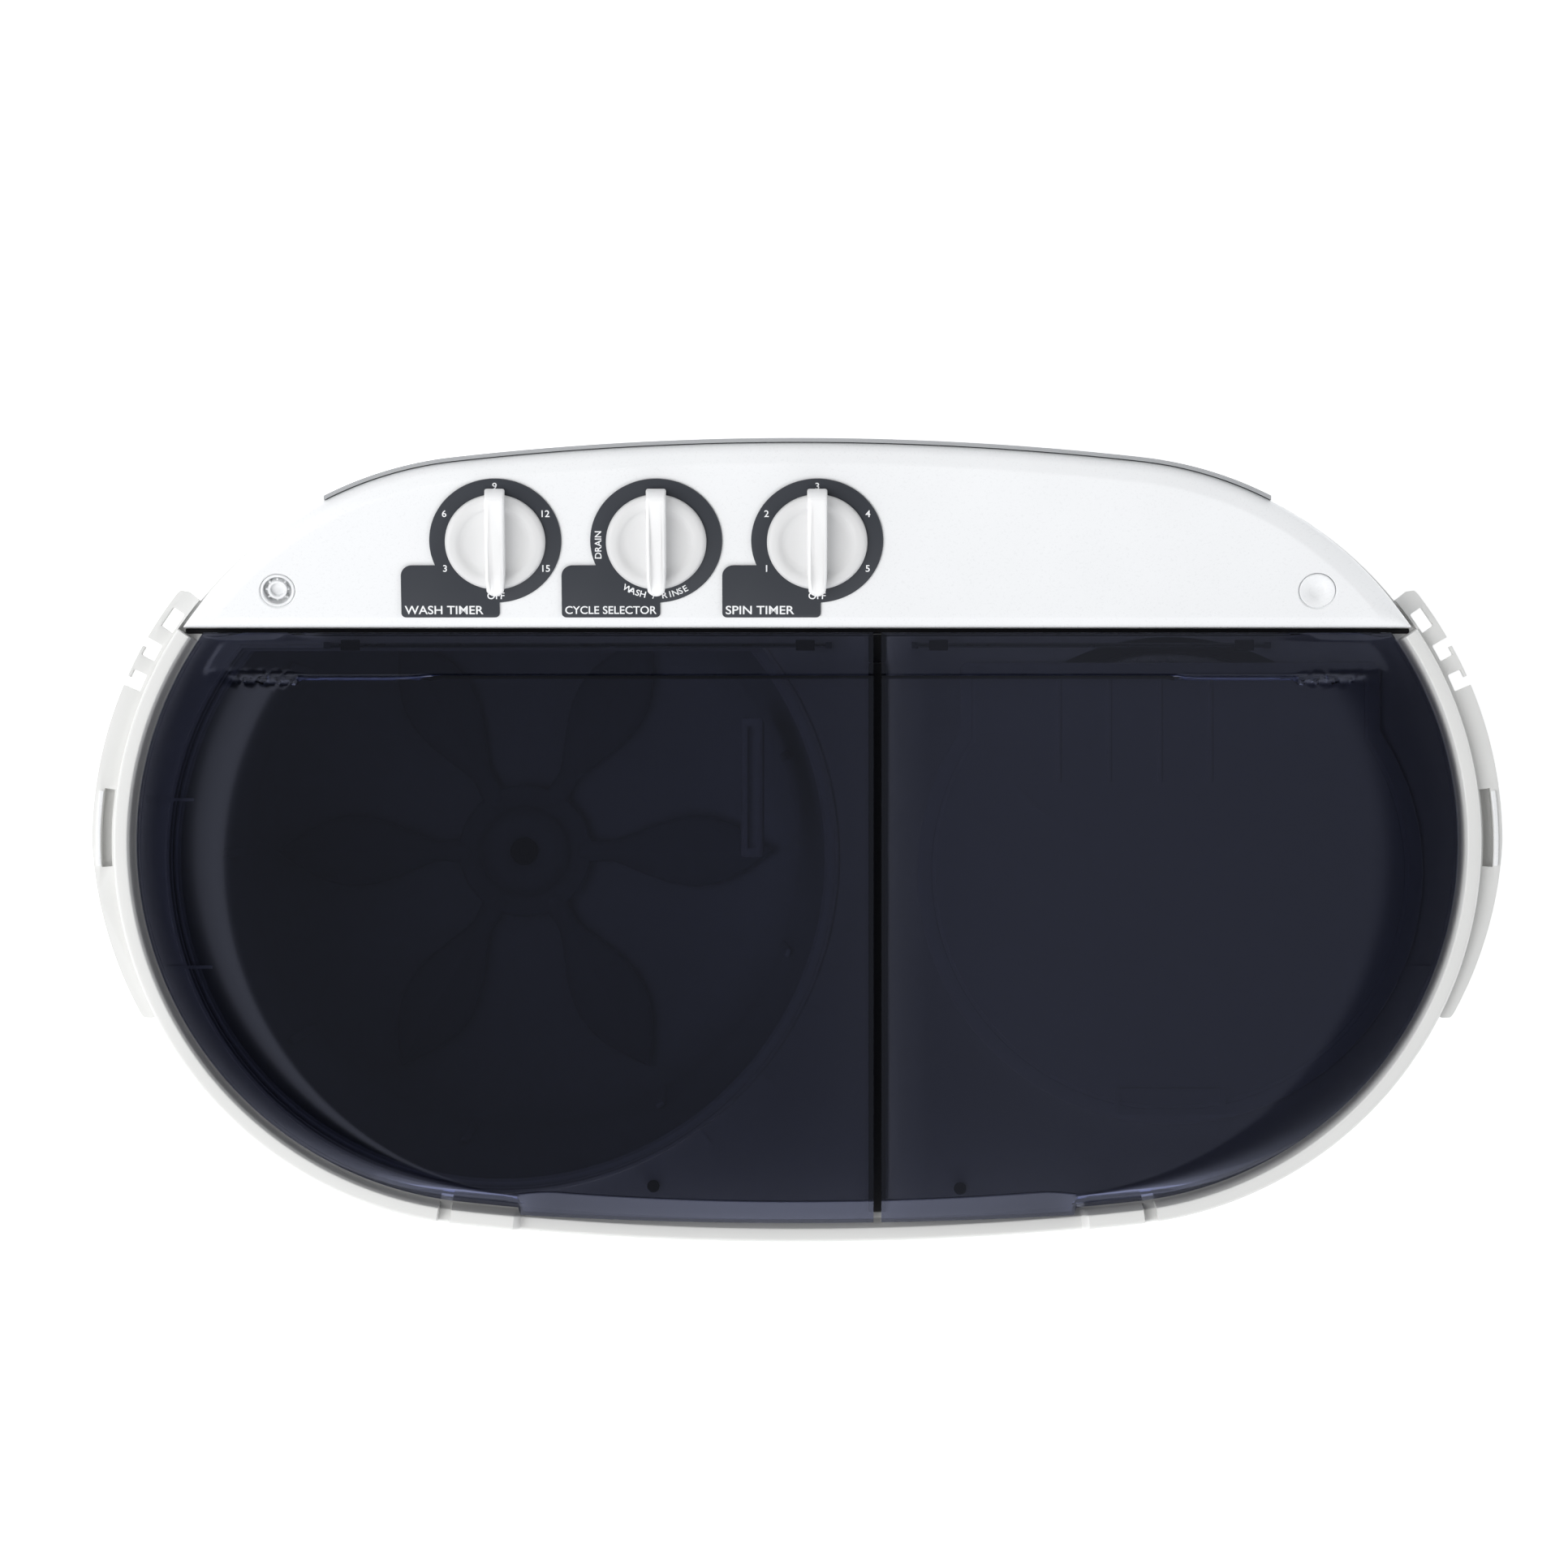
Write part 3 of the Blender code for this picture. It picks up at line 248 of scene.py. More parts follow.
# Name, colour, roughness, grain and its depth in millimetres, then mottling and refractive index
# where they differ. Polypropylene shows a fine even grain; gloss ABS is smoother.
PLASTICS = {
    "cabinet": ("moulded_polypropylene_white", "E4E4E2", 0.42, 1.6, 0.10),
    "panel": ("gloss_abs_white", "F3F4F5", 0.30, 1.4, 0.06),
    "knob": ("knob_abs_white", "F7F7F7", 0.33, 1.1, 0.06),
    # The skirt's white is greyer than the knob bar's: painted shade for the dish round the bar, not a
    # different finish.
    "skirt": ("knob_skirt_white_painted_shade", "E0E0E0", 0.45, 0.8, 0.10, 0.05),
    "rear": ("polypropylene_light_grey", "A9ABAD", 0.50, 1.6, 0.10),
    "tub": ("tub_polypropylene_white", "E4E6E8", 0.34, 2.5, 0.08),
    "pulsator": ("pulsator_polypropylene_grey", "AEB2B8", 0.36, 2.0, 0.08),
    "inner_lid": ("safety_lid_polypropylene", "F0F1F2", 0.38, 2.0, 0.08),
    "stand": ("stand_polypropylene_dark_grey", "5A5D63", 0.55, 1.8, 0.14),
    "dial": ("printed_dial_navy", "36393F", 0.48, 0.9, 0.02, 0.05),
    "ink": ("screen_ink_white", "F2F3F4", 0.55, 0.6, 0.005, 0.02),
    "housing": ("phenolic_housing_black", "26272B", 0.50, 1.2, 0.08),
    "rubber": ("nitrile_rubber_black", "1B1B1D", 0.78, 1.0, 0.12, 0.15, 1.52),
    "motor": ("enamelled_motor_case", "3A3F45", 0.42, 2.2, 0.10, 0.10),
}
# Name, colour, roughness, how far the marks are stretched, their spacing and depth in millimetres.
METALS = {
    "zinc": ("zinc_plated_steel", "B4B8BA", 0.38, (1, 1, 1), 9, 0.02),
    "steel": ("turned_steel", "A6A8AA", 0.30, (1, 1, 14), 14, 0.01),
    "cast": ("die_cast_aluminium", "A4A6A8", 0.52, (1, 1, 1), 2.4, 0.06),
    "stainless": ("brushed_stainless_steel", "C6C8CA", 0.26, (1, 1, 20), 24, 0.01),
}
MATERIALS = {}


def finish_of(key):
    """The material of one finish, made the first time it is asked for."""
    if key not in MATERIALS:
        if key in PLASTICS:
            MATERIALS[key] = moulded_plastic(*PLASTICS[key])
        elif key in METALS:
            MATERIALS[key] = worked_metal(*METALS[key])
        else:
            MATERIALS[key] = smoked_styrene("smoked_styrene_navy", "A4A6B2", 0.04)
    return MATERIALS[key]


# ---------------------------------------------------------------- shape helpers

def skin(rings, cap_first=False, cap_last=False, loop=False):
    """Skins a stack of equal rings: the first is a circle put in place, the rest are extruded.

    A looped stack is closed into a tube by joining its last ring to its first.
    """
    bm = bmesh.new()
    count = len(rings[0])
    verts = bmesh.ops.create_circle(bm, segments=count, radius=1.0)["verts"]
    for vert, place in zip(verts, rings[0]):
        vert.co = place
    current = verts
    first_edges = edges = [find_edge(verts[i], verts[(i + 1) % count]) for i in range(count)]
    if cap_first:
        bmesh.ops.contextual_create(bm, geom=edges)
    for ring in rings[1:]:
        made = set(bmesh.ops.extrude_edge_only(bm, edges=edges)["geom"])
        following = []
        for vert, place in zip(current, ring):
            fresh = next(e.other_vert(vert) for e in vert.link_edges if e.other_vert(vert) in made)
            fresh.co = place
            following.append(fresh)
        current = following
        edges = [find_edge(current[i], current[(i + 1) % count]) for i in range(count)]
    if cap_last:
        bmesh.ops.contextual_create(bm, geom=edges)
    if loop:
        bmesh.ops.bridge_loops(bm, edges=first_edges + edges)
    return bm


def find_edge(one, other):
    """The edge between two vertices."""
    return next(edge for edge in one.link_edges if edge.other_vert(one) == other)


def turned(profile, steps=96):
    """A closed (radius, z) profile turned about Z into a solid."""
    bm = bmesh.new()
    verts = [bm.verts.new((radius, 0, z)) for radius, z in profile]
    pairs = list(zip(verts, verts[1:])) + [(verts[-1], verts[0])]
    edges = [bm.edges.new(pair) for pair in pairs if pair[0].co.x > 1e-7 or pair[1].co.x > 1e-7]
    bmesh.ops.spin(bm, geom=verts + edges, cent=(0, 0, 0), axis=(0, 0, 1), angle=2 * math.pi,
                   steps=steps, use_merge=True)
    bmesh.ops.remove_doubles(bm, verts=bm.verts, dist=1e-6)
    bmesh.ops.recalc_face_normals(bm, faces=bm.faces)
    return bm


def cylinder(radius, low, high, steps):
    """A solid cylinder about Z, its sizes in millimetres."""
    return turned(in_mm([(0, low), (radius, low), (radius, high), (0, high)]), steps)


def arc(radius, start, end, steps, centre=(0, 0)):
    """Points of an arc between two angles in degrees, both ends included."""
    angles = [math.radians(start + (end - start) * i / steps) for i in range(steps + 1)]
    return [(centre[0] + radius * math.cos(a), centre[1] + radius * math.sin(a)) for a in angles]


def prism(points, low, high):
    """A flat outline extruded between two heights."""
    return skin([[(x, y, z) for x, y in points] for z in (low, high)], cap_first=True, cap_last=True)


def block(x0, x1, y0, y1, z0, z1):
    """A box between its limits."""
    bm = bmesh.new()
    bmesh.ops.create_cube(bm, size=1.0)
    bmesh.ops.scale(bm, verts=bm.verts, vec=(x1 - x0, y1 - y0, z1 - z0))
    bmesh.ops.translate(bm, verts=bm.verts, vec=((x0 + x1) / 2, (y0 + y1) / 2, (z0 + z1) / 2))
    return bm


def soften(bm, width, segments=3, angle=30, edges=None):
    """Rounds the edges that turn more sharply than an angle in degrees."""
    limit = math.radians(angle)
    chosen = edges or [edge for edge in bm.edges
                       if len(edge.link_faces) == 2 and edge.calc_face_angle(0) > limit]
    bmesh.ops.bevel(bm, geom=chosen, offset=width, offset_type="OFFSET", segments=segments,
                    profile=0.5, affect="EDGES", clamp_overlap=True, material=-1)
    return bm


def moved(bm, offset=(0, 0, 0), tilt=0.0, turn=0.0):
    """Turns a mesh about Z, tilts it about X and moves it."""
    matrix = Matrix.Translation(offset) @ Matrix.Rotation(tilt, 4, "X") @ Matrix.Rotation(turn, 4, "Z")
    bmesh.ops.transform(bm, matrix=matrix, verts=bm.verts)
    return bm


def joined(*meshes):
    """Several meshes as one."""
    result = meshes[0]
    for other in meshes[1:]:
        mesh = bpy.data.meshes.new("joined")
        other.to_mesh(mesh)
        other.free()
        result.from_mesh(mesh)
        bpy.data.meshes.remove(mesh)
    return result


def add_piece(name, bm, finish, body="root", replaces=(), sharp=35, keep_normals=False):
    """Makes a finished piece from a mesh: material, shading, body, and the nodes it stands for."""
    if not keep_normals:
        bmesh.ops.recalc_face_normals(bm, faces=bm.faces)
    mesh = bpy.data.meshes.new(name)
    bm.to_mesh(mesh)
    bm.free()
    mesh.shade_smooth()
    mesh.set_sharp_from_angle(angle=math.radians(sharp))
    piece = bpy.data.objects.new(name, mesh)
    bpy.context.scene.collection.objects.link(piece)
    mesh.materials.append(finish_of(finish))
    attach(piece, body)
    if replaces:
        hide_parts(*replaces)
    return piece


def carve(piece, bm):
    """Cuts a shape out of a piece and keeps the result."""
    mesh = bpy.data.meshes.new("cutter")
    bmesh.ops.recalc_face_normals(bm, faces=bm.faces)
    bm.to_mesh(mesh)
    bm.free()
    cutter = bpy.data.objects.new("cutter", mesh)
    bpy.context.scene.collection.objects.link(cutter)
    modifier = piece.modifiers.new("cut", "BOOLEAN")
    modifier.operation = "DIFFERENCE"
    modifier.object = cutter
    apply_modifiers(piece)
    bpy.data.objects.remove(cutter, do_unlink=True)
    bpy.data.meshes.remove(mesh)


def apply_modifiers(piece):
    """Bakes a piece's modifiers into its mesh."""
    depsgraph = bpy.context.evaluated_depsgraph_get()
    result = bpy.data.meshes.new_from_object(piece.evaluated_get(depsgraph))
    old = piece.data
    piece.modifiers.clear()
    piece.data = result
    name = old.name
    bpy.data.meshes.remove(old)
    result.name = name
    result.set_sharp_from_angle(angle=math.radians(35))


def outline(s):
    """Point and outward normal of the machine's outline at a distance along it, from mid front."""
    half_side = SIDE_RADIUS * SIDE_SWEEP
    end_length = END_RADIUS * 2 * END_SWEEP
    s %= OUTLINE_LENGTH
    if s <= half_side or s >= OUTLINE_LENGTH - half_side:
        s = s if s <= half_side else s - OUTLINE_LENGTH
        angle, centre, radius = -math.pi / 2 + s / SIDE_RADIUS, Vector((0, SIDE_CENTRE)), SIDE_RADIUS
    elif s <= half_side + end_length:
        angle = -END_SWEEP + (s - half_side) / END_RADIUS
        centre, radius = Vector((END_CENTRE, 0)), END_RADIUS
    elif s <= 3 * half_side + end_length:
        angle = math.pi / 2 - SIDE_SWEEP + (s - half_side - end_length) / SIDE_RADIUS
        centre, radius = Vector((0, -SIDE_CENTRE)), SIDE_RADIUS
    else:
        angle = math.pi - END_SWEEP + (s - 3 * half_side - end_length) / END_RADIUS
        centre, radius = Vector((-END_CENTRE, 0)), END_RADIUS
    normal = Vector((math.cos(angle), math.sin(angle)))
    return centre + normal * radius, normal


OUTLINE_LENGTH = 4 * SIDE_RADIUS * SIDE_SWEEP + 4 * END_RADIUS * END_SWEEP


def stations(spacing, extras=()):
    """Distances along the outline, evenly spaced, with closer ones round the given places."""
    count = round(OUTLINE_LENGTH / spacing)
    places = {round(OUTLINE_LENGTH * i / count, 6) for i in range(count)}
    for centre, reach, step in extras:
        near = {round((centre + step * k) % OUTLINE_LENGTH, 6)
                for k in range(-round(reach / step), round(reach / step) + 1)}
        places = {p for p in places if min(abs(p - n) for n in near) > step * 0.7} | near
    return sorted(places)


def hoop(spots, inset, height):
    """A ring of points along the outline, moved inwards, at a height that may vary along it."""
    ring = []
    for s in spots:
        point, normal = outline(s)
        z = height(s) if callable(height) else height
        ring.append((*(point - normal * inset), z))
    return ring


def smooth_step(value, low, high):
    """0 below one value, 1 above another, with a soft rise between them."""
    share = min(1.0, max(0.0, (value - low) / (high - low)))
    return share * share * (3 - 2 * share)


def side_depth(x, inset):
    """Depth of the outline's front or rear arc at a distance from the middle."""
    if abs(x) < SIDE_RADIUS * math.sin(SIDE_SWEEP) - inset * math.sin(SIDE_SWEEP):
        return math.sqrt((SIDE_RADIUS - inset) ** 2 - x * x) - SIDE_CENTRE
    return math.sqrt(max(0.0, (END_RADIUS - inset) ** 2 - (abs(x) - END_CENTRE) ** 2))


# ---------------------------------------------------------------- cabinet, deck and grips

def place_on_outline(x):
    """Distance along the outline of the point of its front half at a distance from the middle."""
    if abs(x) <= SIDE_RADIUS * math.sin(SIDE_SWEEP):
        s = SIDE_RADIUS * math.asin(x / SIDE_RADIUS)
    else:
        turn = math.acos((abs(x) - END_CENTRE) / END_RADIUS)
        s = math.copysign(SIDE_RADIUS * SIDE_SWEEP + END_RADIUS * (END_SWEEP - turn), x)
    return s % OUTLINE_LENGTH


def rim_height(s):
    """Height of the raised rim: low at the finger recess, in the notches and under the panel."""
    point = outline(s)[0]
    soft = 4.5 * MM
    if point.y > 0:
        rise = 1 - smooth_step(point.y, PANEL_FRONT - 1.2 * MM, PANEL_FRONT - 0.4 * MM)
        return DECK_FLOOR + (RIM_TOP - DECK_FLOOR) * rise
    recess = smooth_step(point.x, LEDGE_LEFT - soft, LEDGE_LEFT) * \
        (1 - smooth_step(point.x, LEDGE_RIGHT, LEDGE_RIGHT + soft))
    gap = abs(abs(point.x) - NOTCH_X)
    notch = 1 - smooth_step(gap, NOTCH_WIDTH / 2 - 0.3 * MM, NOTCH_WIDTH / 2 + 0.3 * MM)
    return RIM_TOP - (RIM_TOP - LEDGE_TOP) * max(recess, notch)


def make_deck(settings):
    """The deck in one moulding: outer wall, raised rim, ledge, floor and the two tub openings."""
    extras = [(place_on_outline(x), 6 * MM, 0.75 * MM) for x in (LEDGE_LEFT, LEDGE_RIGHT)]
    extras += [(place_on_outline(side * NOTCH_X + offset), 0.6 * MM, 0.2 * MM)
               for side in (-1, 1) for offset in (-NOTCH_WIDTH / 2, NOTCH_WIDTH / 2)]
    tip = END_RADIUS * math.asin(PANEL_FRONT / END_RADIUS)
    middle = SIDE_RADIUS * SIDE_SWEEP + END_RADIUS * END_SWEEP
    extras += [(s, 2 * MM, 0.4 * MM) for s in (middle + tip, -middle - tip)]
    spots = stations(settings.facet, extras)
    wall, low = 4 * MM, DECK_LOW.z
    width = settings.rim_width

    def top(drop):
        return lambda s: max(DECK_FLOOR + 0.3 * MM, rim_height(s) - drop)

    rings = [hoop(spots, wall, DECK_FLOOR - wall), hoop(spots, wall, low), hoop(spots, 1 * MM, low),
             hoop(spots, 0, low + 1 * MM), hoop(spots, 0, DECK_FLOOR - 2 * MM)]
    for angle in range(0, 91, 18):
        turn = math.radians(angle)
        rings.append(hoop(spots, 2.2 * MM * (1 - math.cos(turn)), top(2.2 * MM * (1 - math.sin(turn)))))
    for angle in range(0, 91, 22):
        turn = math.radians(angle)
        rings.append(hoop(spots, width - 1.2 * MM + 1.2 * MM * math.sin(turn),
                          top(1.2 * MM * (1 - math.cos(turn)))))

    def wall_foot(s):
        return min(DECK_FLOOR + 3 * MM, rim_height(s))
    rings.append(hoop(spots, RIM_FOOT - 1 * MM, wall_foot))
    rings.append(hoop(spots, RIM_FOOT, lambda s: min(DECK_FLOOR + 1.0 * MM, rim_height(s))))
    rings += [hoop(spots, RIM_FOOT + inset * MM, DECK_FLOOR) for inset in (1.2, 3.0)]
    deck = add_piece("deck", skin(rings, cap_first=True, cap_last=True), "cabinet",
                     replaces=["top_deck"])
    opening = cylinder(settings.wash_opening / MM, -10, 20, 128)
    bmesh.ops.bisect_plane(opening, geom=opening.verts[:] + opening.edges[:] + opening.faces[:],
                           plane_co=(0, WASH_CHORD - WASH_CENTRE.y, 0), plane_no=(0, 1, 0), clear_outer=True)
    bmesh.ops.holes_fill(opening, edges=opening.edges[:])
    carve(deck, moved(opening, WASH_CENTRE + Vector((0, 0, DECK_FLOOR - wall))))
    hole = cylinder(SPIN_OPENING, -10, 20, 128)
    carve(deck, moved(hole, SPIN_CENTRE + Vector((0, 0, DECK_FLOOR - wall))))


def make_collars(settings):
    """A raised bead round the wash opening, with the short radial ribs outside it."""
    bead = [(0, 0), (0, 1.6), (0.8, 2.6), (2.4, 2.6), (3.2, 1.6), (3.2, 0)]
    radius = settings.wash_opening + 1.2 * MM
    cut_y = WASH_CHORD + 1.2 * MM
    turn = math.degrees(math.asin((cut_y - WASH_CENTRE.y) / radius))
    path = arc(1.0, 180 - turn, 360 + turn, 120)

    def wash_ring(out, z):
        """The bead's D-shaped path, moved outwards."""
        ring = []
        for x, y in path:
            ring.append((WASH_CENTRE.x + (radius + out) * x, WASH_CENTRE.y + (radius + out) * y, z))
        start, end = ring[-1], ring[0]
        for i in range(1, 24):
            share = i / 24
            ring.append((start[0] + (end[0] - start[0]) * share, cut_y + out, z))
        ring[0] = (ring[0][0], cut_y + out, z)
        ring[len(path) - 1] = (start[0], cut_y + out, z)
        return ring

    rings = [wash_ring(out * MM, DECK_FLOOR + z * MM - 0.2 * MM) for out, z in bead]
    collar = skin(rings, loop=True)
    parts = [collar]
    for angle in range(-54, 30, 14):
        rib = block(radius + 6 * MM, radius + 14 * MM, -0.8 * MM, 0.8 * MM, -0.2 * MM, 1.6 * MM)
        parts.append(moved(rib, WASH_CENTRE + Vector((0, 0, DECK_FLOOR)), turn=math.radians(angle)))
    add_piece("wash_collar", joined(*parts), "cabinet")

    ribs = []
    for y in (27 * MM, -80 * MM):
        for side in (-1, 1):
            reach = side_reach(y) - 15 * MM
            ribs.append(block(*sorted((side * reach, side * (reach - 34 * MM))), y - 1 * MM, y + 1 * MM,
                              DECK_FLOOR - 0.2 * MM, DECK_FLOOR + 3 * MM))
    add_piece("deck_ribs", joined(*ribs), "cabinet")


def make_gap_shade_strips():
    """Dark strips in the rubber finish on the deck, under the gap between the two lids and behind the lids
    under the panel: painted shade for the shadow in these gaps.
    """
    middle = (LID_HIGH.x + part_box("spin_lid")[0][0]) / 2
    half = 5.5 * MM
    front = -side_depth(middle, LID_INSET + 4 * MM)
    swing = LID_HINGE.y - 11 * MM
    strip = soften(block(middle - half, middle + half, front, swing,
                         DECK_FLOOR + 0.2 * MM, DECK_FLOOR + 7.5 * MM), 1.2 * MM, 3)
    foot = soften(block(middle - half, middle + half, swing + 0.3 * MM, LID_REAR - 0.8 * MM,
                        DECK_FLOOR + 0.2 * MM, DECK_FLOOR + 3.2 * MM), 0.8 * MM, 2)
    rear = soften(block(-391 * MM, 391 * MM, LID_REAR - 0.5 * MM, PANEL_FRONT - 0.3 * MM,
                        DECK_FLOOR + 0.2 * MM, DECK_FLOOR + 1.6 * MM), 0.8 * MM, 2)
    # The black finish of these strips is painted shade for the gaps.
    add_piece("lid_gap_shade_strips", joined(strip, foot, rear), "rubber")


def side_reach(y):
    """Half width of the outline at a depth, on the end arcs."""
    return END_CENTRE + math.sqrt(END_RADIUS**2 - y * y)


FOOT_INSET = 16 * MM  # how far the cabinet has drawn in at its foot


def make_cabinet(settings):
    """The tapering cabinet shell, with a bead below the deck and above the stand."""
    spots = stations(settings.facet)
    low, high = SHELL_LOW.z, SHELL_HIGH.z
    top_inset = DECK_HIGH.x - SHELL_HIGH.x

    def inset(z):
        return top_inset + (FOOT_INSET - top_inset) * (high - z) / (high - low)

    levels = in_mm([(3, 0), (0.8, 0), (0, -0.8), (0, -14), (1.2, -15.5), (1.2, -18), (0, -19.5)], high)
    levels += [(0, (high * 2 + low) / 3), (0, (high + low * 2) / 3)]
    levels += in_mm([(0, 24), (1.2, 22.5), (1.2, 20), (0, 18.5), (0, 0.8), (0.8, 0), (3, 0)], low)
    levels.append((3 * MM, (low + high) / 2))
    rings = [hoop(spots, inset(z) + extra, z) for extra, z in levels]
    shell = add_piece("cabinet", skin(rings, loop=True), "cabinet", replaces=["cabinet_shell"],
                      sharp=50)
    cover_low, cover_high = corners("rear_cover")
    hole = block(cover_low.x + 15 * MM, cover_high.x - 15 * MM, 180 * MM, 280 * MM,
                 cover_low.z + 15 * MM, cover_high.z - 15 * MM)
    carve(shell, hole)
    gland_low, gland_high = corners("cord_gland")
    bore = cylinder(8.2, -20, 20, 48)
    middle = (gland_low + gland_high) / 2
    carve(shell, moved(bore, (middle.x, gland_low.y, middle.z), tilt=math.pi / 2))

    width = cover_high.x
    steps, rows = 40, 24
    grid = bmesh.new()
    bmesh.ops.create_grid(grid, x_segments=steps, y_segments=rows, size=1.0)
    for vert in grid.verts:
        x = vert.co.x * width
        z = cover_low.z + (vert.co.y + 1) / 2 * (cover_high.z - cover_low.z)
        z_share = (z - cover_low.z) / (cover_high.z - cover_low.z)
        row = z_share * (COVER_LOUVRES + 2) - 1
        louvre = 0.0
        if 0 < row < COVER_LOUVRES and abs(x) < width - 40 * MM:
            louvre = 0.9 * MM * math.sin(math.pi * (row % 1.0)) ** 2
        vert.co = (x, side_depth(x, inset(z)) + 2.6 * MM - louvre, z)
    bmesh.ops.solidify(grid, geom=grid.faces[:], thickness=1.6 * MM)
    add_piece("back_cover", grid, "rear", replaces=["rear_cover"])
    screws = []
    for x in (-width + 9 * MM, width - 9 * MM):
        for z in (cover_low.z + 9 * MM, (cover_low.z + cover_high.z) / 2, cover_high.z - 9 * MM):
            screws.append(moved(screw_head(3.6 * MM), (x, side_depth(x, inset(z)) + 2.5 * MM, z),
                                tilt=-math.pi / 2))
    add_piece("cover_screws", joined(*screws), "zinc")


COVER_LOUVRES = 14


def screw_head(radius):
    """A pan head with a cross recess, its top towards +Z."""
    head = turned([(0, 0), (radius, 0), (radius, 0.4 * radius), (0.8 * radius, 0.62 * radius),
                   (0.45 * radius, 0.7 * radius), (0, 0.7 * radius)], 24)
    slot = joined(block(-0.6 * radius, 0.6 * radius, -0.12 * radius, 0.12 * radius,
                        0.69 * radius, 0.72 * radius),
                  block(-0.12 * radius, 0.12 * radius, -0.6 * radius, 0.6 * radius,
                        0.69 * radius, 0.73 * radius))
    return joined(head, slot)


def make_stand(settings):
    """The dark stand under the cabinet, with a shadow step at its top and the bore of the drain outlet."""
    spots = stations(settings.facet)
    inset = DECK_HIGH.x - BASE_HIGH.x
    low, high, wall = BASE_LOW.z, BASE_HIGH.z, 4 * MM
    levels = [(wall, low + wall)]
    levels += in_mm([(4, 0), (2.4, 0), (2.4, -4), (0.6, -4.4), (0, -5.2)], high)
    levels += in_mm([(0, 6), (1.8, 1.8), (6, 0)], low)
    rings = [hoop(spots, inset + extra, z) for extra, z in levels]
    stand = add_piece("stand", skin(rings, cap_first=True, cap_last=True), "stand",
                      replaces=["base_stand"])
    outlet_low, outlet_high = corners("drain_outlet")
    middle = (outlet_low + outlet_high) / 2
    bore = cylinder(16.5, -40, 40, 48)
    carve(stand, moved(bore, (middle.x, middle.y, middle.z), tilt=math.pi / 2))


def make_feet():
    """Four rubber feet with a grooved tread."""
    for place in ("front_left", "front_right", "rear_left", "rear_right"):
        node = f"foot_{place}"
        low, high = corners(node)
        middle = (low + high) / 2
        top = high.z
        profile = in_mm([(0, 0.6), (8, 0.6), (8.6, 0), (12, 0), (12.6, 1.2), (14, 1.2), (14.6, 0),
                         (19.6, 0), (21.4, 0.6), (23.6, 3.6), (23.8, 6)])
        profile += in_mm([(22.2, -1), (21.4, 0), (0, 0)], top)
        add_piece(f"rubber_{node}", moved(turned(profile, 64), (middle.x, middle.y, 0)),
                  "rubber", replaces=[node])


def grip_edge(angle):
    """Outer radius of a side grip at an angle in degrees, about the outline's end centre."""
    wide, narrow = GRIP_HIGH.x - END_CENTRE, 252.5 * MM
    return wide if angle >= 0 else wide - (wide - narrow) * min(1.0, angle / GRIP_END)


GRIP_START, GRIP_END = 39.0, -27.0
# Angle, radius, radial width, tangential width and the side of the mouth of each opening.
GRIP_OPENINGS = ((34.3, 251.3, 8.8, 14.3, 0), (29.0, 252.6, 9.2, 11.5, 1), (24.1, 252.6, 9.2, 11.5, -1))


def make_grips():
    """Side grips: a square hole, a T-shaped hook and a raised rib in front of a finger pocket."""
    inner = END_RADIUS + 0.3 * MM
    low, high = GRIP_LOW.z, GRIP_HIGH.z
    steps = 110
    for label, side in (("left", -1), ("right", 1)):
        path = arc(inner, GRIP_START, GRIP_END, steps)
        for i in range(steps + 1):
            angle = GRIP_END + (GRIP_START - GRIP_END) * i / steps
            edge = grip_edge(angle)
            ends = min(angle - GRIP_END, GRIP_START - angle) * math.radians(1) * edge
            drop = 5 * MM * (1 - math.sqrt(max(0.0, 1 - (1 - min(1.0, ends / (5 * MM))) ** 2)))
            turn = math.radians(angle)
            path.append(((edge - drop) * math.cos(turn), (edge - drop) * math.sin(turn)))
        points = [(side * (x + END_CENTRE), y) for x, y in path]
        grip = add_piece(f"grip_{label}", prism(points, low, high), "cabinet",
                         replaces=[f"side_grip_{label}"])
        for angle, radius, wide, tall, mouth in GRIP_OPENINGS:
            turn = math.radians(angle)
            spot = Vector((END_CENTRE + radius * MM * math.cos(turn), radius * MM * math.sin(turn), 0))
            wide, tall = wide * MM, tall * MM
            hole = block(-wide / 2, wide / 2, -tall / 2, tall / 2, low - 5 * MM, high + 5 * MM)
            upright = [edge for edge in hole.edges if abs(edge.verts[0].co.z - edge.verts[1].co.z) > 5 * MM]
            soften(hole, 0.9 * MM, 3, edges=upright)
            tools = [hole]
            if mouth:
                tools.append(moved(block(0, 12 * MM, -3 * MM, 3 * MM, low - 5 * MM, high + 5 * MM),
                                   (0, 2.8 * MM * mouth, 0)))
            for tool in tools:
                tool = moved(moved(tool, turn=turn), spot)
                if side < 0:
                    bmesh.ops.scale(tool, verts=tool.verts, vec=(-1, 1, 1))
                carve(grip, tool)
        pocket = arc(inner + 1.2 * MM, 7.8, -3.6, 24) + arc(grip_edge(0) - 5.8 * MM, -3.6, 7.8, 24)
        pocket = [(side * (x + END_CENTRE), y) for x, y in pocket]
        carve(grip, prism(pocket, low + 2 * MM, high + 10 * MM))
        bevel = grip.modifiers.new("edges", "BEVEL")
        bevel.width = 0.7 * MM
        bevel.segments = 2
        bevel.limit_method = "ANGLE"
        bevel.angle_limit = math.radians(40)
        apply_modifiers(grip)
        rib = arc(grip_edge(0) - 5.6 * MM, 7.4, -3.4, 24) + arc(grip_edge(0) - 2.8 * MM, -3.4, 7.4, 24)
        rib = [(side * (x + END_CENTRE), y) for x, y in rib]
        add_piece(f"grip_rib_{label}", soften(prism(rib, low + 1.9 * MM, high + 2.6 * MM), 0.6 * MM, 2),
                  "panel")


# ---------------------------------------------------------------- control panel

def face_height(y):
    """Height of the panel's sloping face at a depth."""
    return PANEL_FRONT_TOP + (y - PANEL_FRONT) * math.tan(PANEL_TILT)


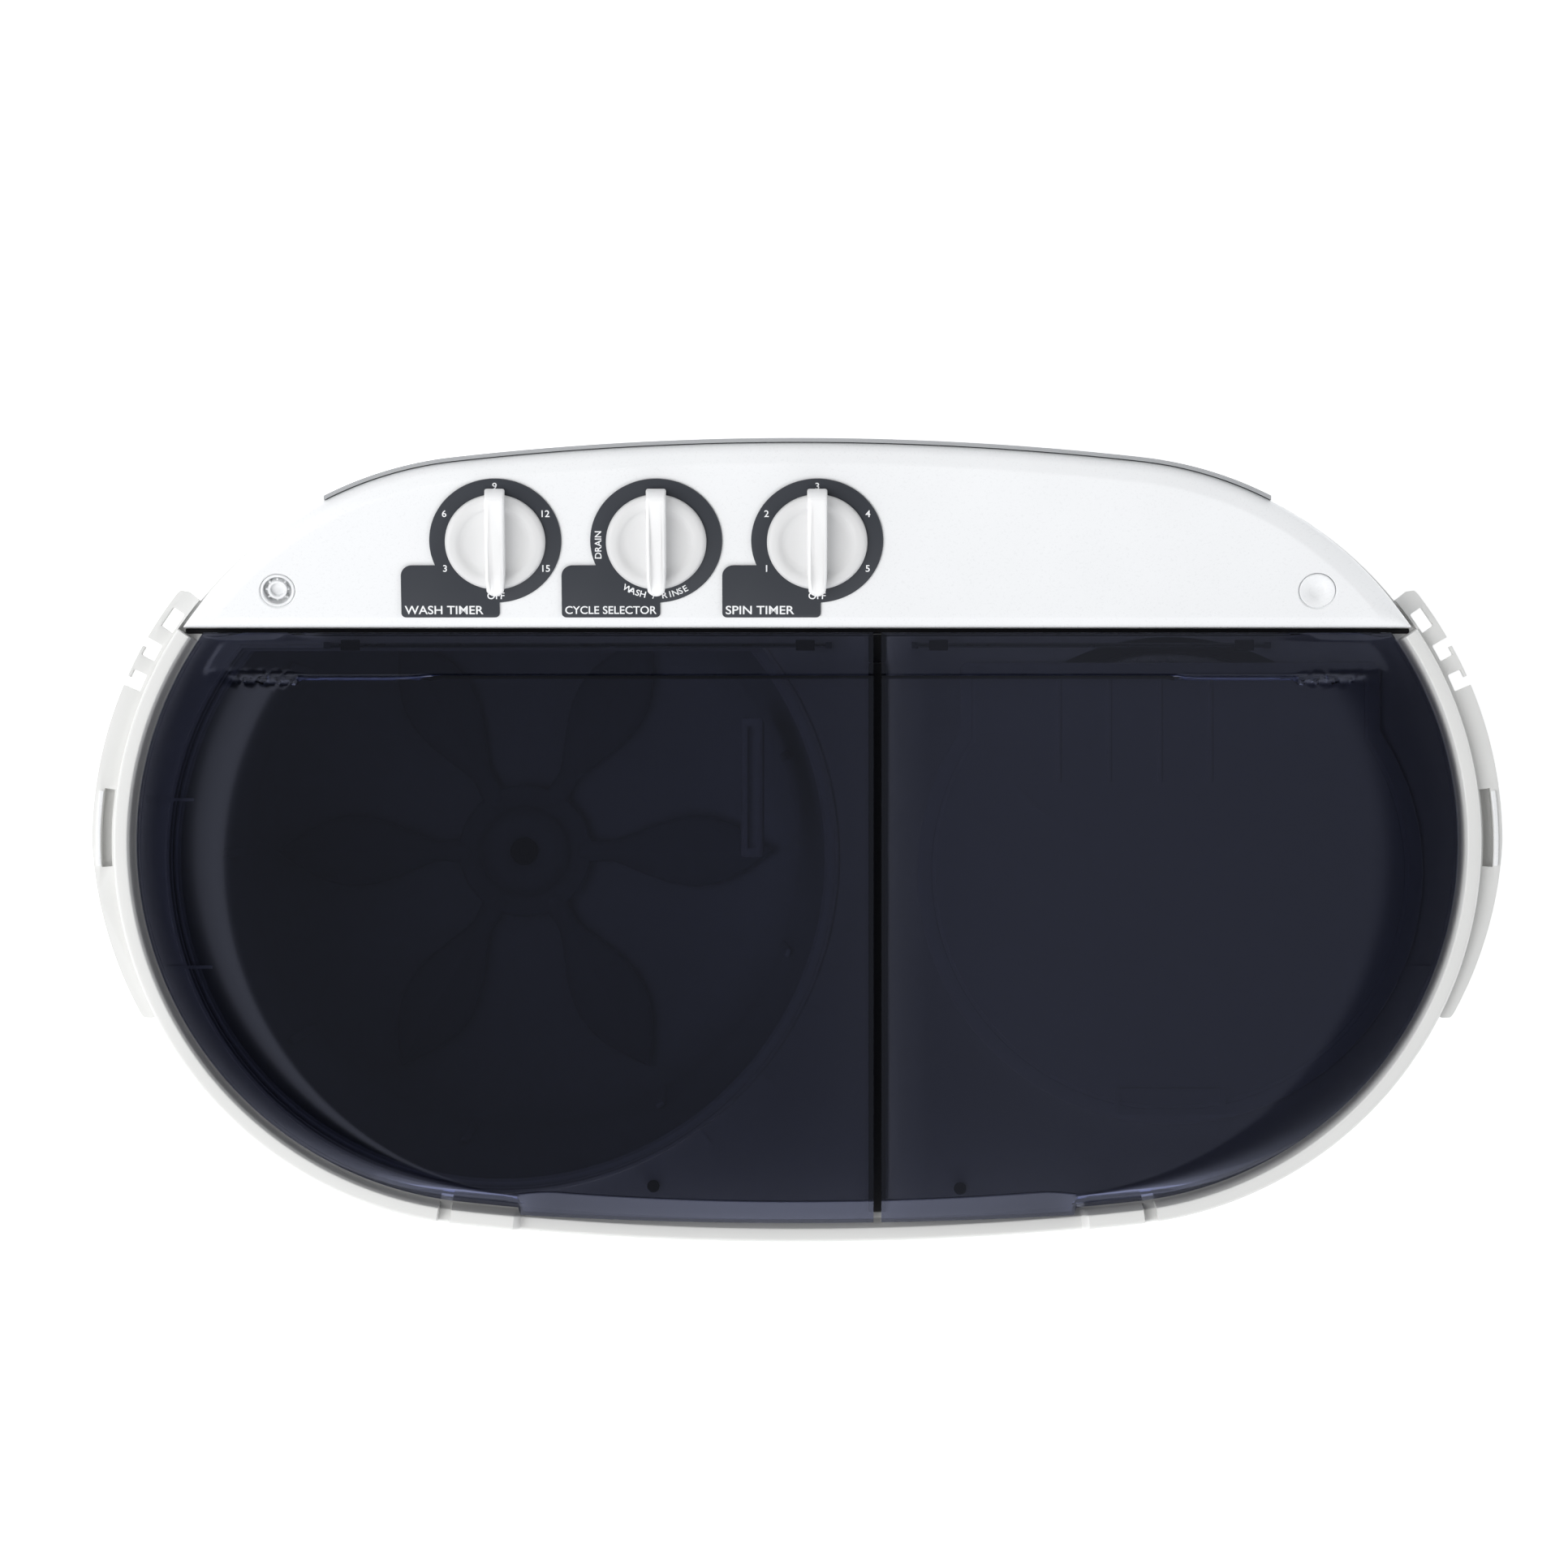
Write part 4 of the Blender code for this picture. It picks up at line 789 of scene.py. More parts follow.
def on_face(x, y, above=0.0):
    """A place on the panel's sloping face, or a little above it."""
    return Vector((x, y, face_height(y))) + PANEL_NORMAL * above


def panel_ring(inset, front, drop, front_drop, level=None):
    """A ring of the panel: the outline behind a line, at a drop below the sloping face."""
    radius, y0 = END_RADIUS - inset, PANEL_FRONT + front
    start = math.asin(y0 / radius)
    side = math.pi / 2 - SIDE_SWEEP
    angles = [start + (side - start) * i / 44 for i in range(45)]
    places = [(END_CENTRE + radius * math.cos(a), radius * math.sin(a)) for a in angles]
    for i in range(1, 44):
        angle = side + (math.pi / 2 - side) * i / 22
        if angle < math.pi - side:
            places.append(((SIDE_RADIUS - inset) * math.cos(angle),
                           (SIDE_RADIUS - inset) * math.sin(angle) - SIDE_CENTRE))
    places += [(-x, y) for x, y in reversed(places[:45])]
    reach, across = places[0][0], 90
    front_row = [(-reach + 2 * reach * i / across, y0) for i in range(1, across)]
    ring = []
    for x, y in places + front_row:
        near = smooth_step(y - y0, 1 * MM, 14 * MM)
        z = face_height(y) - (front_drop + (drop - front_drop) * near)
        ring.append((x, y, level if level is not None else z))
    return ring


def make_panel(settings):
    """The sloping control panel: a flat face, a narrow front lip and a broad fall at back and ends."""
    inset = DECK_HIGH.y - PANEL_HIGH.y
    back, lip, wall, foot = settings.panel_round, 5.6 * MM, 3 * MM, PANEL_LOW.z
    fall = 6.2 * MM  # how far the face drops across its band
    steps = [(back + 2.5 * MM, lip + 2.5 * MM, 0, 0), (back + 1.0 * MM, lip + 1.0 * MM, 0, 0),
             (back, lip, 0.12 * MM, 0.08 * MM), (back - 0.8 * MM, lip - 0.5 * MM, 0.42 * MM, 0.3 * MM),
             (back * 0.5, lip * 0.55, fall * 0.44, 0.8 * MM), (2.2 * MM, 1.6 * MM, fall * 0.78, 1.4 * MM),
             (1.0 * MM, 0.7 * MM, fall, 2.0 * MM), (0.3 * MM, 0.2 * MM, fall + 1.1 * MM, 2.9 * MM),
             (0, 0, fall + 2.6 * MM, 4.2 * MM)]
    rings = [panel_ring(inset + step, front, drop, front_drop) for step, front, drop, front_drop in steps]
    rings.append(panel_ring(inset, 0, 0, 0, level=foot + 1 * MM))
    rings.append(panel_ring(inset + 1 * MM, 1 * MM, 0, 0, level=foot))
    rings.append(panel_ring(inset + wall, wall, 0, 0, level=foot))
    rings.append(panel_ring(inset + wall, wall, fall + 2 * wall, 2 * wall))
    rings.append(panel_ring(inset + back, lip + wall, wall, wall))
    panel = add_piece("panel", skin(rings, cap_first=True, cap_last=True), "panel",
                      replaces=["control_panel"], sharp=28)
    for centre in DIALS.values():
        hole = cylinder(5, -12, 12, 32)
        carve(panel, moved(hole, on_face(centre.x, centre.y), tilt=PANEL_TILT))
    for x, radius in ((-INLET_X, INLET_HOLE), (INLET_X, PLUG_HOLE)):
        hole = turned([(0, -12 * MM), (radius, -12 * MM), (radius, -0.9 * MM),
                       (radius + 0.9 * MM, 0.05 * MM), (radius + 0.9 * MM, 12 * MM), (0, 12 * MM)], 64)
        carve(panel, moved(hole, on_face(x, INLET_Y), tilt=PANEL_TILT))

    cover_low, cover_high = corners("panel_back_cover")
    reach = cover_high.x - 0.4 * MM
    across, rows = 120, []
    for inset_, drop_ in ((inset - 0.4 * MM, None), (0.2 * MM, None), (0.2 * MM, 5.6 * MM),
                          (0.9 * MM, 4.6 * MM), (inset - 0.4 * MM, 4.3 * MM)):
        line = []
        for i in range(across + 1):
            x = -reach + 2 * reach * i / across
            y = side_depth(x, inset_)
            z = cover_low.z + 0.2 * MM if drop_ is None else face_height(y) - drop_
            line.append((x, y, z))
        rows.append(line)
    count = len(rows)
    cover = skin([[rows[k][i] for k in range(count)] for i in range(across + 1)],
                 cap_first=True, cap_last=True)
    add_piece("panel_rear_band", cover, "rear", replaces=["panel_back_cover"])


INLET_X, INLET_Y = 330 * MM, 159.5 * MM
INLET_HOLE, PLUG_HOLE = 11.2 * MM, 11.7 * MM


def make_inlets():
    """The hose socket at the left of the panel, with its small ribs, and the dished plug at its right."""
    # The widest part of each stands 0.3 mm inside its hole in the panel.
    socket = turned(in_mm([(0, -11), (10.9, -11), (10.9, -0.6), (10.4, 0.1), (9.6, 0.1), (9.1, -0.6),
                           (9.1, -8.5), (6.2, -8.5), (6.2, -2.0), (5.9, -1.5), (4.9, -1.5), (4.5, -2.0),
                           (4.5, -5.2), (0, -5.2)]), 96)
    parts = [socket]
    for i in range(8):
        nub = block(5.8 * MM, 7.5 * MM, -0.55 * MM, 0.55 * MM, -8.6 * MM, -3.0 * MM)
        parts.append(moved(soften(nub, 0.25 * MM, 2), turn=2 * math.pi * i / 8))
    for i in range(4):
        nub = block(7.4 * MM, 9.2 * MM, -0.6 * MM, 0.6 * MM, -8.6 * MM, -5.0 * MM)
        parts.append(moved(soften(nub, 0.25 * MM, 2), turn=2 * math.pi * (i + 0.5) / 4))
    add_piece("hose_socket", moved(joined(*parts), on_face(-INLET_X, INLET_Y), tilt=PANEL_TILT), "panel",
              replaces=["water_inlet"])
    plug = turned(in_mm([(0, -6), (11.4, -6), (11.4, -0.2), (10.9, 0.35), (10.3, 0.3), (4.9, -1.5),
                         (4.3, -1.9), (0, -1.9)]), 96)
    add_piece("inlet_stopper", moved(plug, on_face(INLET_X, INLET_Y), tilt=PANEL_TILT), "panel",
              replaces=["inlet_plug"])


# ---------------------------------------------------------------- dials and knobs

def lettering(text, height, spot, width=None, turn=0.0, left=False):
    """Generic words or numbers as a thin flat mesh of a given capital height, about or right of a spot."""
    curve = bpy.data.curves.new("lettering", "FONT")
    curve.body = text
    curve.offset = 0.012
    curve.resolution_u = 5
    holder = bpy.data.objects.new("lettering", curve)
    bpy.context.scene.collection.objects.link(holder)
    depsgraph = bpy.context.evaluated_depsgraph_get()
    mesh = bpy.data.meshes.new_from_object(holder.evaluated_get(depsgraph))
    bm = bmesh.new()
    bm.from_mesh(mesh)
    bpy.data.objects.remove(holder, do_unlink=True)
    bpy.data.meshes.remove(mesh)
    xs, ys = [v.co.x for v in bm.verts], [v.co.y for v in bm.verts]
    tall = height / (max(ys) - min(ys))
    wide = width / (max(xs) - min(xs)) if width else tall
    middle = (min(xs) if left else (min(xs) + max(xs)) / 2, (min(ys) + max(ys)) / 2, 0)
    matrix = (Matrix.Translation((*spot, 0)) @ Matrix.Rotation(turn, 4, "Z")
              @ Matrix.Diagonal((wide, tall, 1, 1)) @ Matrix.Translation(-Vector(middle)))
    bmesh.ops.transform(bm, matrix=matrix, verts=bm.verts)
    bmesh.ops.solidify(bm, geom=bm.faces[:], thickness=0.05 * MM)
    return bm


def around(radius, degrees):
    """A place on a dial, by its angle clockwise from the dial's foot."""
    turn = math.radians(-90 - degrees)
    return radius * math.cos(turn), radius * math.sin(turn)


def curved_words(text, height, radius, step):
    """Words along the foot of a dial, one letter at a time, read from below."""
    start = step * (len(text) - 1) / 2
    places = [(letter, start - step * i) for i, letter in enumerate(text) if letter != " "]
    return [lettering(letter, height, around(radius, angle), turn=math.radians(-angle))
            for letter, angle in places]


# Title, its width and capital height in millimetres, and the scale clockwise from the foot.
DIAL_WORDS = {
    "wash": ("WASH TIMER", 50.0, 5.8, ("OFF", "3", "6", "9", "12", "15")),
    "selector": ("CYCLE SELECTOR", 58.0, 5.4, ()),
    "spin": ("SPIN TIMER", 43.5, 5.8, ("OFF", "1", "2", "3", "4", "5")),
}


def make_dial(name, settings):
    """One printed dial plate: a round scale and a flag with its title, and the words on it."""
    centre = DIALS[name]
    low, top = 0.3 * MM, 1.5 * MM
    radius = settings.dial_radius
    x0, x1, y0, y1 = -60.2 * MM, 2.3 * MM, -51.9 * MM, -16.7 * MM
    corner, small = 7 * MM, 3 * MM
    start = math.degrees(math.asin(y1 / radius))
    points = arc(radius, -90 + math.degrees(math.asin(x1 / radius)), 180 - start, 96)
    flag = arc(corner, 90, 180, 10, (x0 + corner, y1 - corner))
    flag += arc(small, 180, 270, 6, (x0 + small, y0 + small))
    flag += arc(small, 270, 360, 6, (x1 - small, y0 + small))
    plate = soften(prism(points + flag, low, top), 0.35 * MM, 2, angle=60)
    plate = moved(plate, on_face(centre.x, centre.y), tilt=PANEL_TILT)
    piece = add_piece(f"{name}_plate", plate, "dial", replaces=[f"{name}_dial"])
    hole = cylinder(5, -5, 5, 32)
    carve(piece, moved(hole, on_face(centre.x, centre.y), tilt=PANEL_TILT))

    title, wide, tall, numbers = DIAL_WORDS[name]
    words = [lettering(title, tall * MM, (x0 + 2.2 * MM, y0 + 5.2 * MM), wide * MM, left=True)]
    words += [lettering(number, 4.6 * MM, around(37.0 * MM, 60 * i)) for i, number in enumerate(numbers)]
    if not numbers:
        words += curved_words("WASH / RINSE", 4.2 * MM, 36.9 * MM, 5.4)
        words.append(lettering("DRAIN", 4.2 * MM, around(36.9 * MM, 86), 18.5 * MM, turn=math.pi / 2))
    printing = moved(joined(*words), on_face(centre.x, centre.y, top + 0.05 * MM), tilt=PANEL_TILT)
    add_piece(f"{name}_print", printing, "ink")


def make_knob(name, settings):
    """One control knob: a dished skirt and a pointer bar, squared at one end and rounded at the other."""
    centre = DIALS[name]
    radius = settings.knob_radius
    rim = radius / MM
    skirt = [(0, 1.8), (rim - 0.4, 1.8), (rim, 2.2), (rim, 4.0), (rim - 0.5, 4.9), (30.0, 6.6), (28.6, 7.15),
             (26.2, 7.2), (24.4, 7.0), (23.0, 5.9), (21.4, 4.8), (18.5, 4.4), (0, 4.4)]
    knob = turned(in_mm(skirt), 128)
    stem = cylinder(4, -2.8, 2.5, 32)
    half, top, tail = 6.4 * MM, 22 * MM, 36 * MM
    foot, corner, taper, rounding = 3.5 * MM, 1.6 * MM, 0.45 * MM, 1.7 * MM
    profile = arc(half, 205, 335, 20, (0, -26.6 * MM)) + [(half, -21 * MM), (half, 10 * MM)]
    profile += arc(corner, 0, 90, 5, (half - corner, tail - corner))
    profile += arc(corner, 90, 180, 5, (corner - half, tail - corner))
    profile += [(-half, 10 * MM), (-half, -21 * MM)]
    rings = []
    for share, shrink in ((0, 0), (0.45, 0.2 * MM), (0.9, taper)):
        rings.append([(x * (1 - shrink / half), y, foot + (top - foot) * share) for x, y in profile])
    for angle in range(15, 91, 15):
        turn = math.radians(angle)
        inset = rounding * (1 - math.cos(turn))
        ring = []
        for x, y in profile:
            drawn_in = math.copysign(abs(x) - inset - taper * abs(x) / half, x)
            ring.append((drawn_in if abs(x) > 2 * inset else x * 0.7, y - math.copysign(inset, y),
                         top - 1.9 * MM + rounding * math.sin(turn)))
        rings.append(ring)
    bar = skin(rings, cap_first=True, cap_last=True)
    for vert in bar.verts:
        nose = smooth_step(-vert.co.y, 14 * MM, 34 * MM)
        vert.co.z -= (vert.co.z - foot) * 0.42 * nose
    body, place = f"{name}_knob_body", on_face(centre.x, centre.y)
    add_piece(f"{name}_knob_bar", moved(bar, place, tilt=PANEL_TILT), "knob", body=body,
              replaces=[f"{name}_knob"], sharp=32)
    # The skirt's greyer white is painted shade in the dish round the bar.
    add_piece(f"{name}_knob_skirt", moved(joined(knob, stem), place, tilt=PANEL_TILT), "skirt",
              body=body, sharp=32)


# ---------------------------------------------------------------- lids

def lid_sections(split):
    """Edge point, flat-top point and kind of each section round a lid, drawn for the right side.

    The sections run from the rear corner at the split along the rear edge, round the end and
    along the front to the front corner at the split.
    """
    radius = END_RADIUS - LID_INSET
    rear_corner = Vector((END_CENTRE + math.sqrt(radius**2 - LID_REAR**2), LID_REAR))
    crease_up = LID_STEP - CREASE_CENTRE.y
    crease_corner = Vector((CREASE_CENTRE.x + math.sqrt(CREASE_RADIUS**2 - crease_up**2), LID_STEP))
    sections = []
    for i in range(48):
        share = i / 48
        edge = Vector((split + (rear_corner.x - split) * share, LID_REAR))
        flat = Vector((split + (crease_corner.x - split) * share, LID_STEP))
        sections.append((edge, flat, smooth_step(edge.x, crease_corner.x - 30 * MM, rear_corner.x)))

    start = math.degrees(math.asin(LID_REAR / radius))
    end = arc(radius, start, -math.degrees(END_SWEEP), 120, (END_CENTRE, 0))
    side = [(end[-1][0] + (LIP_END - end[-1][0]) * i / 4) for i in range(1, 5)]
    path = [Vector(p) for p in end] + [Vector((x, -side_depth(x, LID_INSET))) for x in side]
    first = math.atan2(crease_up, crease_corner.x - CREASE_CENTRE.x)
    last = -math.acos((LIP_END - CREASE_CENTRE.x) / CREASE_RADIUS)
    travelled, total = 0.0, sum((b - a).length for a, b in zip(path, path[1:]))
    for i, edge in enumerate(path):
        travelled += (edge - path[i - 1]).length if i else 0.0
        angle = first + (last - first) * travelled / total
        flat = CREASE_CENTRE + CREASE_RADIUS * Vector((math.cos(angle), math.sin(angle)))
        sections.append((edge, flat, 1.0))

    front, flat_y = LIP_END - 1.6 * MM, sections[-1][1].y
    for i in range(57):
        x = front + (split - front) * i / 56
        edge = -side_depth(x, LID_INSET) - LIP_REACH * (1 + 1.4 * (x / LIP_END) ** 2)
        settled = smooth_step(front - x, -2 * MM, 24 * MM)
        flat = flat_y + (-side_depth(x, LID_INSET) + LIP_WIDTH - flat_y) * settled
        sections.append((Vector((x, edge)), Vector((x, flat)), 2.0))
    return sections


LIP_REACH = 2.0 * MM
STRIP_DROP = 6.5 * MM
LID_BOTTOM, LID_EDGE_TOP = LID_HIGH.z - 13 * MM, LID_HIGH.z - 10 * MM


def lid_profile(kind, share):
    """Height of a lid between its edge and its flat top: rear strip 0, curved end 1, front lip 2."""
    top = LID_HIGH.z
    rise = top - LID_EDGE_TOP
    if kind > 1:
        return min(top, LID_EDGE_TOP + rise * min(1.0, share * 1.02))
    strip = top - STRIP_DROP + STRIP_DROP * smooth_step(share, 0.955, 1.0)
    curved = LID_EDGE_TOP + rise * (math.sin(math.pi / 2 * share) ** 0.9 if share > 0 else 0.0)
    return strip + (min(curved, top) - strip) * kind


def make_lid(name, side, split):
    """A smoked lid: flat top, curved end, lower rear strip and a front lip to lift it by."""
    sections = lid_sections(split)
    shares = [0.0, 0.012] + [0.04 + 0.91 * i / 22 for i in range(23)]
    shares += [0.9625, 0.975, 0.9875, 1.0, None]  # None is the flat row just inside the crease
    bm = bmesh.new()
    across, along = len(shares), len(sections)
    bmesh.ops.create_grid(bm, x_segments=along - 1, y_segments=across - 1, size=1.0)
    flats = {}
    for vert in bm.verts[:]:
        i = round((vert.co.x + 1) / 2 * (along - 1))
        j = round((vert.co.y + 1) / 2 * (across - 1))
        edge, flat, kind = sections[i]
        share = shares[j]
        if share is None:
            place = flat + (flat - edge).normalized() * 1.5 * MM
            z = LID_HIGH.z
            flats[i] = vert
        else:
            place = edge + (flat - edge) * share
            z = lid_profile(kind, share)
            lowered = smooth_step(place.y, LID_STEP - 5 * MM, LID_STEP + 1.5 * MM) if kind > 0 else 0.0
            z = min(z, LID_HIGH.z - STRIP_DROP * lowered)
        if j == 0:
            z = min(z, LID_BOTTOM if kind >= 1 else LID_HIGH.z - STRIP_DROP - 1.2 * MM)
        vert.co = (side * place.x, place.y, z)
    closing = bmesh.ops.contextual_create(bm, geom=[flats[0], flats[along - 1]])["edges"]
    crease = [find_edge(flats[i], flats[i + 1]) for i in range(along - 1)]
    bmesh.ops.contextual_create(bm, geom=crease + closing)
    bmesh.ops.recalc_face_normals(bm, faces=bm.faces)
    if max(bm.faces, key=lambda face: face.calc_area()).normal.z < 0:
        bmesh.ops.reverse_faces(bm, faces=bm.faces)
    piece = add_piece(f"{name}_cover", bm, "lid", body=f"{name}_body", replaces=[name],
                      sharp=30, keep_normals=True)
    wall = piece.modifiers.new("wall", "SOLIDIFY")
    wall.thickness = LID_THICKNESS
    wall.offset = -1
    wall.use_even_offset = True
    apply_modifiers(piece)
    knuckles = []
    for x in KNUCKLES[name]:
        knuckle = turned(in_mm([(2, -6), (3.4, -6), (3.4, 6), (2, 6)]), 32)
        bmesh.ops.rotate(knuckle, verts=knuckle.verts, matrix=Matrix.Rotation(math.pi / 2, 3, "Y"))
        web = soften(block(-5.6 * MM, 5.6 * MM, -2.2 * MM, 2.2 * MM, 2.2 * MM, 3.4 * MM), 0.3 * MM, 2)
        knuckles.append(moved(joined(knuckle, web), (x, LID_HINGE.y, LID_HINGE.z)))
    add_piece(f"{name}_knuckles", joined(*knuckles), "housing", body=f"{name}_body")


KNUCKLES = {"wash_lid": (-285 * MM, 5 * MM), "spin_lid": (90 * MM, 285 * MM)}


# ---------------------------------------------------------------- inside the machine

def make_wash_tub(settings):
    """The wash tub: tapering wall, rounded foot and nine ribs on the wall."""
    top, floor = TUB_HIGH.z, TUB_LOW.z
    mouth = settings.tub_radius / MM
    profile = in_mm([(12.5, 0), (168, 0), (184, 4), (193.5, 16)], floor)
    profile += in_mm([(mouth + 3, -3), (218, -3), (219, -2), (219, 0), (mouth + 2, 0), (mouth, -2)], top)
    profile += in_mm([(191, 22), (188, 13), (181, 6), (170, 3), (120, 3), (30, 3), (12.5, 3)], floor)
    add_piece("tub", moved(turned(profile, 144), WASH_CENTRE), "tub", replaces=["wash_tub"],
              sharp=40)
    ribs = []
    for angle in range(20, 380, 40):
        rib = block(184 * MM, 192.5 * MM, -3 * MM, 3 * MM, floor + 20 * MM, floor + 250 * MM)
        for vert in rib.verts:
            if vert.co.x < 190 * MM:
                vert.co.x += 5 * MM if vert.co.z > floor + 100 * MM else 4.4 * MM
            vert.co.x += 7.0 * MM * (vert.co.z - floor) / (top - floor)
        ribs.append(moved(soften(rib, 1.4 * MM, 3), WASH_CENTRE, turn=math.radians(angle)))
    add_piece("tub_ribs", joined(*ribs), "tub")


def make_filter():
    """The lint filter's slotted panel on the wall of the wash tub."""
    low, high = corners("filter_panel")
    plate = soften(block(low.x, high.x, low.y, high.y, low.z, high.z), 2.2 * MM, 4)
    panel = add_piece("filter_frame", plate, "inner_lid", replaces=["filter_panel"])
    slots = []
    count = 14
    for i in range(count):
        z = low.z + 24 * MM + (high.z - low.z - 110 * MM) * i / count
        slots.append(block(low.x - 2 * MM, low.x + 2.2 * MM, low.y + 12 * MM, high.y - 12 * MM,
                           z, z + 8 * MM))
    slots.append(block(low.x + 4 * MM, high.x - 4 * MM, low.y + 6 * MM, high.y - 6 * MM,
                       high.z - 8 * MM, high.z + 2 * MM))
    carve(panel, joined(*slots))


def petal_half_width(radius):
    """Half the width of a pulsator petal at a distance from the centre."""
    share = (radius - PETAL_START) / (PETAL_END - PETAL_START)
    return 7 * MM * (1 - share) + 21.5 * MM * math.sin(math.pi * share**1.15)


PETAL_START, PETAL_END, PETALS = 60 * MM, 173 * MM, 6


def make_pulsator():
    """The pulsator: six crowned petals on short arms, a stepped hub and a cap over the screw."""
    seat, centre = PULSATOR_LOW.z, WASH_CENTRE
    steps = 26
    radii = [38 * MM, 50 * MM]
    radii += [PETAL_START + (PETAL_END - PETAL_START) * math.sin(math.pi / 2 * i / steps)
              for i in range(steps)]
    widths = [9 * MM, 7.6 * MM] + [petal_half_width(radius) for radius in radii[2:]]
    outline_ = [(r, -w) for r, w in zip(radii, widths)] + [(PETAL_END, 0.0)]
    outline_ += [(r, w) for r, w in reversed(list(zip(radii, widths)))]
    parts = []
    for k in range(PETALS):
        rings = []
        for shrink, z in ((0, 0), (0, 4.0), (0.5, 6.0), (1.6, 7.4), (3.4, 8.4), (6.0, 9.2), (9.0, 9.9)):
            ring = []
            for r, w in outline_:
                keep = max(0.0, abs(w) - shrink * MM * min(1.0, abs(w) / (9 * MM)))
                reach = r if r < 60 * MM else r - shrink * MM * smooth_step(r, 120 * MM, PETAL_END)
                ring.append((reach, math.copysign(keep, w) if w else 0.0, seat + z * MM))
            rings.append(ring)
        petal = skin(rings, cap_first=True, cap_last=True)
        parts.append(moved(petal, centre, turn=2 * math.pi * k / PETALS))
    hub = [(0, 0), (44, 0), (46, 1.5), (46, 6.5), (44.5, 8.2), (36, 9.4), (32.5, 11), (31, 13), (30, 20),
           (28.5, 24), (25, 27.6), (22, 29), (13.5, 29.6), (12, 28.6), (0, 28.6)]
    parts.append(moved(turned(in_mm(hub, seat), 96), centre))
    add_piece("pulsator_rotor", joined(*parts), "pulsator", body="pulsator_body", replaces=["pulsator"],
              sharp=40)
    low, high = corners("pulsator_cap")
    profile = in_mm([(0, -1.6), (9.6, -1.6)], low.z)
    profile += in_mm([(9.6, -2.6), (8.8, -1.2), (6.0, -0.4), (3.6, 0), (3.0, -0.6), (0, -0.6)], high.z)
    cap = turned(profile, 64)
    add_piece("rotor_cap", moved(cap, centre), "housing", body="pulsator_body",
              replaces=["pulsator_cap"])


def make_spin_tub():
    """The outer spin tub with its rounded foot and the bead round its mouth."""
    top, floor = SPIN_TUB_HIGH.z, SPIN_TUB_LOW.z
    profile = in_mm([(30, 0), (148, 0), (162, 4), (169, 14)], floor)
    profile += in_mm([(169, -3), (178, -3), (178, 0), (168, 0), (166, -2)], top)
    profile += in_mm([(166, 16), (160, 6.5), (147, 3), (30, 3)], floor)
    add_piece("spin_tub", moved(turned(profile, 128), SPIN_CENTRE), "tub", replaces=["spin_outer_tub"],
              sharp=40)


def make_basket():
    """The stainless spin basket: rolled lip, embossed rings and rows of drain holes in its wall."""
    low, high, radius = BASKET_LOW.z, BASKET_HIGH.z, BASKET_HIGH.x - SPIN_CENTRE.x
    wall = 1.6 * MM
    outer = in_mm([(8.5, 0), (122, 0), (134, 5), (radius / MM, 17)], low)
    groove = [(0, -5), (-1.5, -1.5), (-1.5, 1.5), (0, 5)]
    for share in (0.2, 0.4, 0.6, 0.8):
        z = low + (high - low) * share
        outer += [(radius + out * MM, z + up * MM) for out, up in groove]
    outer += [(radius, high - 4 * MM), (radius - 1 * MM, high - 1 * MM), (radius - 3 * MM, high)]
    outer += in_mm([(120, 0), (118, -1.2), (118, -3), (120, -3.6)], high)
    inner = [(radius - wall, high - 5 * MM)]
    for share in (0.8, 0.6, 0.4, 0.2):
        z = low + (high - low) * share
        inner += [(radius - wall + out * MM, z + up * MM) for out, up in reversed(groove)]
    inner.append((radius - wall, low + 18 * MM))
    inner += in_mm([(133, 7), (122, 2.5), (40, 2.5), (30, 8), (26, 48), (24, 50), (8.5, 50)], low)
    basket = add_piece("basket", moved(turned(outer + inner, 120), SPIN_CENTRE), "stainless",
                       body="basket_body", replaces=["spin_basket"], sharp=30)
    holes = []
    rows, around_ = 9, 24
    for row in range(rows):
        z = low + 45 * MM + (high - low - 80 * MM) * row / (rows - 1)
        for k in range(around_):
            turn = 2 * math.pi * (k + 0.5 * (row % 2)) / around_
            hole = bmesh.new()
            bmesh.ops.create_cone(hole, cap_ends=True, segments=10, radius1=2.4 * MM, radius2=2.4 * MM,
                                  depth=12 * MM)
            bmesh.ops.rotate(hole, verts=hole.verts, matrix=Matrix.Rotation(math.pi / 2, 3, "Y"))
            bmesh.ops.translate(hole, verts=hole.verts, vec=(radius, 0, z))
            holes.append(moved(hole, SPIN_CENTRE, turn=turn))
    carve(basket, joined(*holes))


